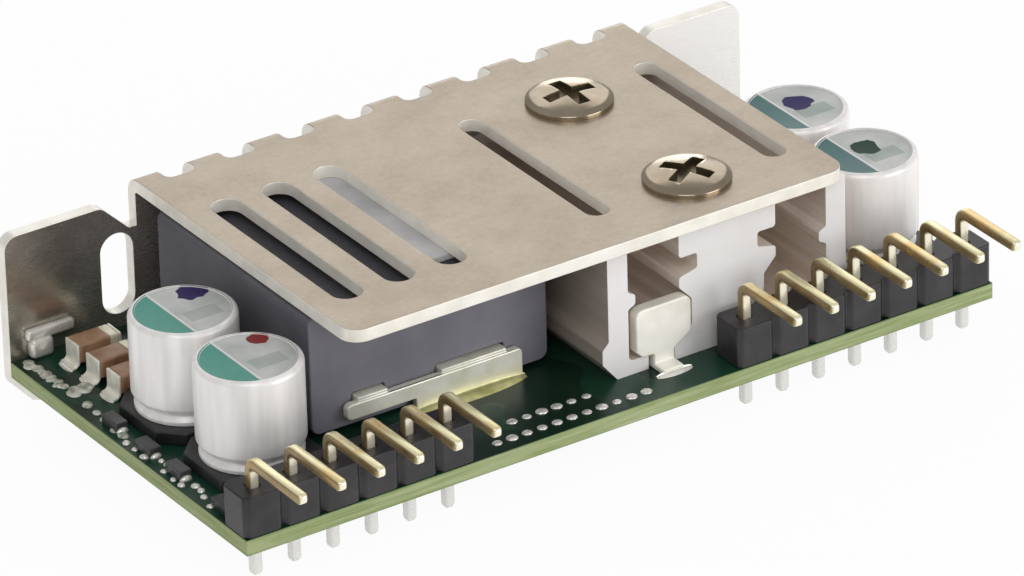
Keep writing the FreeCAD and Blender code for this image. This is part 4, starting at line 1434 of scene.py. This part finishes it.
@dataclass
class SignalChips:
    """The small chips along the left edge, with soldered end caps."""

    finishes: Finishes
    domes: DomeTree
    count: int = 4
    end_size: Triple = (0.42, 0.26, 0.3)

    def build(self) -> None:
        """Dress the chips and solder their ends."""
        ends = []
        top = board_top()
        for number in range(1, self.count + 1):
            node = "signal_chip_%d" % number
            dress(node, "chip_black", [self.finishes.chip], Softening(0.06, 2))
            low, high = limits(node)
            for edge in (low.y, high.y):
                ends.append(Spot(((low.x + high.x) / 2, edge, top), self.end_size))
        self.domes.sow("chip_ends", ends, self.finishes.solder, 0.1, 7, "lead_tin")


# ---------------------------------------------------------------- studio


@dataclass(frozen=True)
class Camera:
    """The photograph's long lens, 28 degrees up and 33 degrees to the front left."""

    place: Triple = (-245.52, -382.27, 247.12)
    right: Triple = (0.83309, -0.55255, -0.02531)
    up: Triple = (0.28011, 0.38199, 0.88069)
    back: Triple = (-0.47696, -0.74079, 0.47301)
    lens: float = 316.5

    def build(self) -> None:
        """Set the scene's camera."""
        data = bpy.data.cameras.new("photograph_camera")
        data.lens = self.lens
        data.sensor_width = 36.0
        data.clip_start = 0.01
        data.clip_end = 10.0
        camera = bpy.data.objects.new("photograph_camera", data)
        turn = Matrix((self.right, self.up, self.back)).transposed()
        camera.matrix_world = Matrix.Translation(Vector(self.place) * MM) @ turn.to_4x4()
        bpy.context.scene.collection.objects.link(camera)
        bpy.context.scene.camera = camera


@dataclass(frozen=True)
class Lamp:
    """One soft square lamp that looks at the object."""

    name: str
    place: Triple
    size: float
    power: float

    def build(self) -> None:
        """Hang the lamp."""
        data = bpy.data.lights.new(self.name, "AREA")
        data.shape = "SQUARE"
        data.size = self.size
        data.energy = self.power
        lamp = bpy.data.objects.new(self.name, data)
        lamp.location = self.place
        lamp.rotation_euler = (-Vector(self.place)).to_track_quat("-Z", "Y").to_euler()
        bpy.context.scene.collection.objects.link(lamp)


@dataclass
class Studio:
    """Floor, lamps and world."""

    lamps: tuple[Lamp, ...] = (
        Lamp("key_lamp", (-0.22, -0.30, 0.40), 0.28, 0.5),
        Lamp("fill_lamp", (0.30, -0.46, 0.14), 0.34, 1.2),
        Lamp("rear_lamp", (0.30, 0.46, 0.30), 0.36, 0.34),
        Lamp("low_lamp", (0.32, 0.50, 0.09), 0.12, 0.10),
    )
    floor_half: float = 1.6
    floor_gap: float = 0.02 * MM
    ambient: float = 0.62
    mirrored: float = 0.42
    tone: Colour = (1.0, 0.995, 0.985)

    def build(self) -> None:
        """Lay the floor, hang the lamps and light the world."""
        level, half = CAD_BOX[0][2] - self.floor_gap, self.floor_half
        mesh = bpy.data.meshes.new("studio_floor")
        mesh.from_pydata([(-half, -half, level), (half, -half, level), (half, half, level), (-half, half, level)],
                         [], [(0, 1, 2, 3)])
        mesh.materials.append(StudioFloor().make())
        link("studio_floor", mesh)
        for lamp in self.lamps:
            lamp.build()
        world = bpy.data.worlds.new("studio_world")
        world.use_nodes = True
        tree = world.node_tree
        tree.nodes.clear()
        path = add(tree, "ShaderNodeLightPath").outputs
        seen = add(tree, "ShaderNodeMath", {0: path["Is Camera Ray"], 1: path["Is Transmission Ray"]},
                   operation="MAXIMUM")
        mirrored = add(tree, "ShaderNodeMapRange", {"Value": path["Is Glossy Ray"], "To Min": self.ambient,
                                                    "To Max": self.mirrored})
        strength = add(tree, "ShaderNodeMapRange", {"Value": seen.outputs[0], "To Min": mirrored.outputs["Result"],
                                                    "To Max": 1.0})
        back = add(tree, "ShaderNodeBackground", {"Color": self.tone, "Strength": strength.outputs[0]})
        add(tree, "ShaderNodeOutputWorld", {0: back.outputs[0]})
        bpy.context.scene.world = world
        bpy.context.scene.view_settings.view_transform = "Standard"


def main() -> None:
    """Build the studio and every sub-assembly in order."""
    logging.basicConfig(level=logging.INFO, format="%(name)s %(message)s")
    Camera().build()
    Studio().build()
    finishes = Finishes()
    domes = DomeTree()
    CircuitBoard(finishes, domes).build()
    PinHeader("left", 6, finishes, domes).build()
    PinHeader("right", 7, finishes, domes).build()
    HeatSpreader(finishes).build()
    HeatChannel(finishes).build()
    for node in ("front_screw", "rear_screw"):
        Screw(node, finishes).build()
    Inductor(finishes).build()
    grey, green = (0.16, 0.22, 0.20), (0.03, 0.15, 0.09)
    pale_teal, deep_teal = (0.02, 0.24, 0.18), (0.006, 0.10, 0.10)
    for name, spot, place, radius, ink, segment in (
            ("left_front", (0.20, 0.012, 0.012), (1.6, 1.55), 0.62, grey, pale_teal),
            ("left_rear", (0.018, 0.004, 0.08), (1.45, 1.5), 0.84, grey, pale_teal),
            ("right_front", (0.004, 0.04, 0.02), (0.3, 0.35), 0.85, green, deep_teal),
            ("right_rear", (0.012, 0.006, 0.09), (0.45, 0.4), 0.9, green, deep_teal)):
        CanCapacitor(name + "_capacitor", finishes, domes, spot, place, radius, ink, segment).build()
    for number in (1, 2, 3):
        CeramicCapacitor(number, finishes).build()
    SignalChips(finishes, domes).build()


if __name__ == "__main__":
    main()
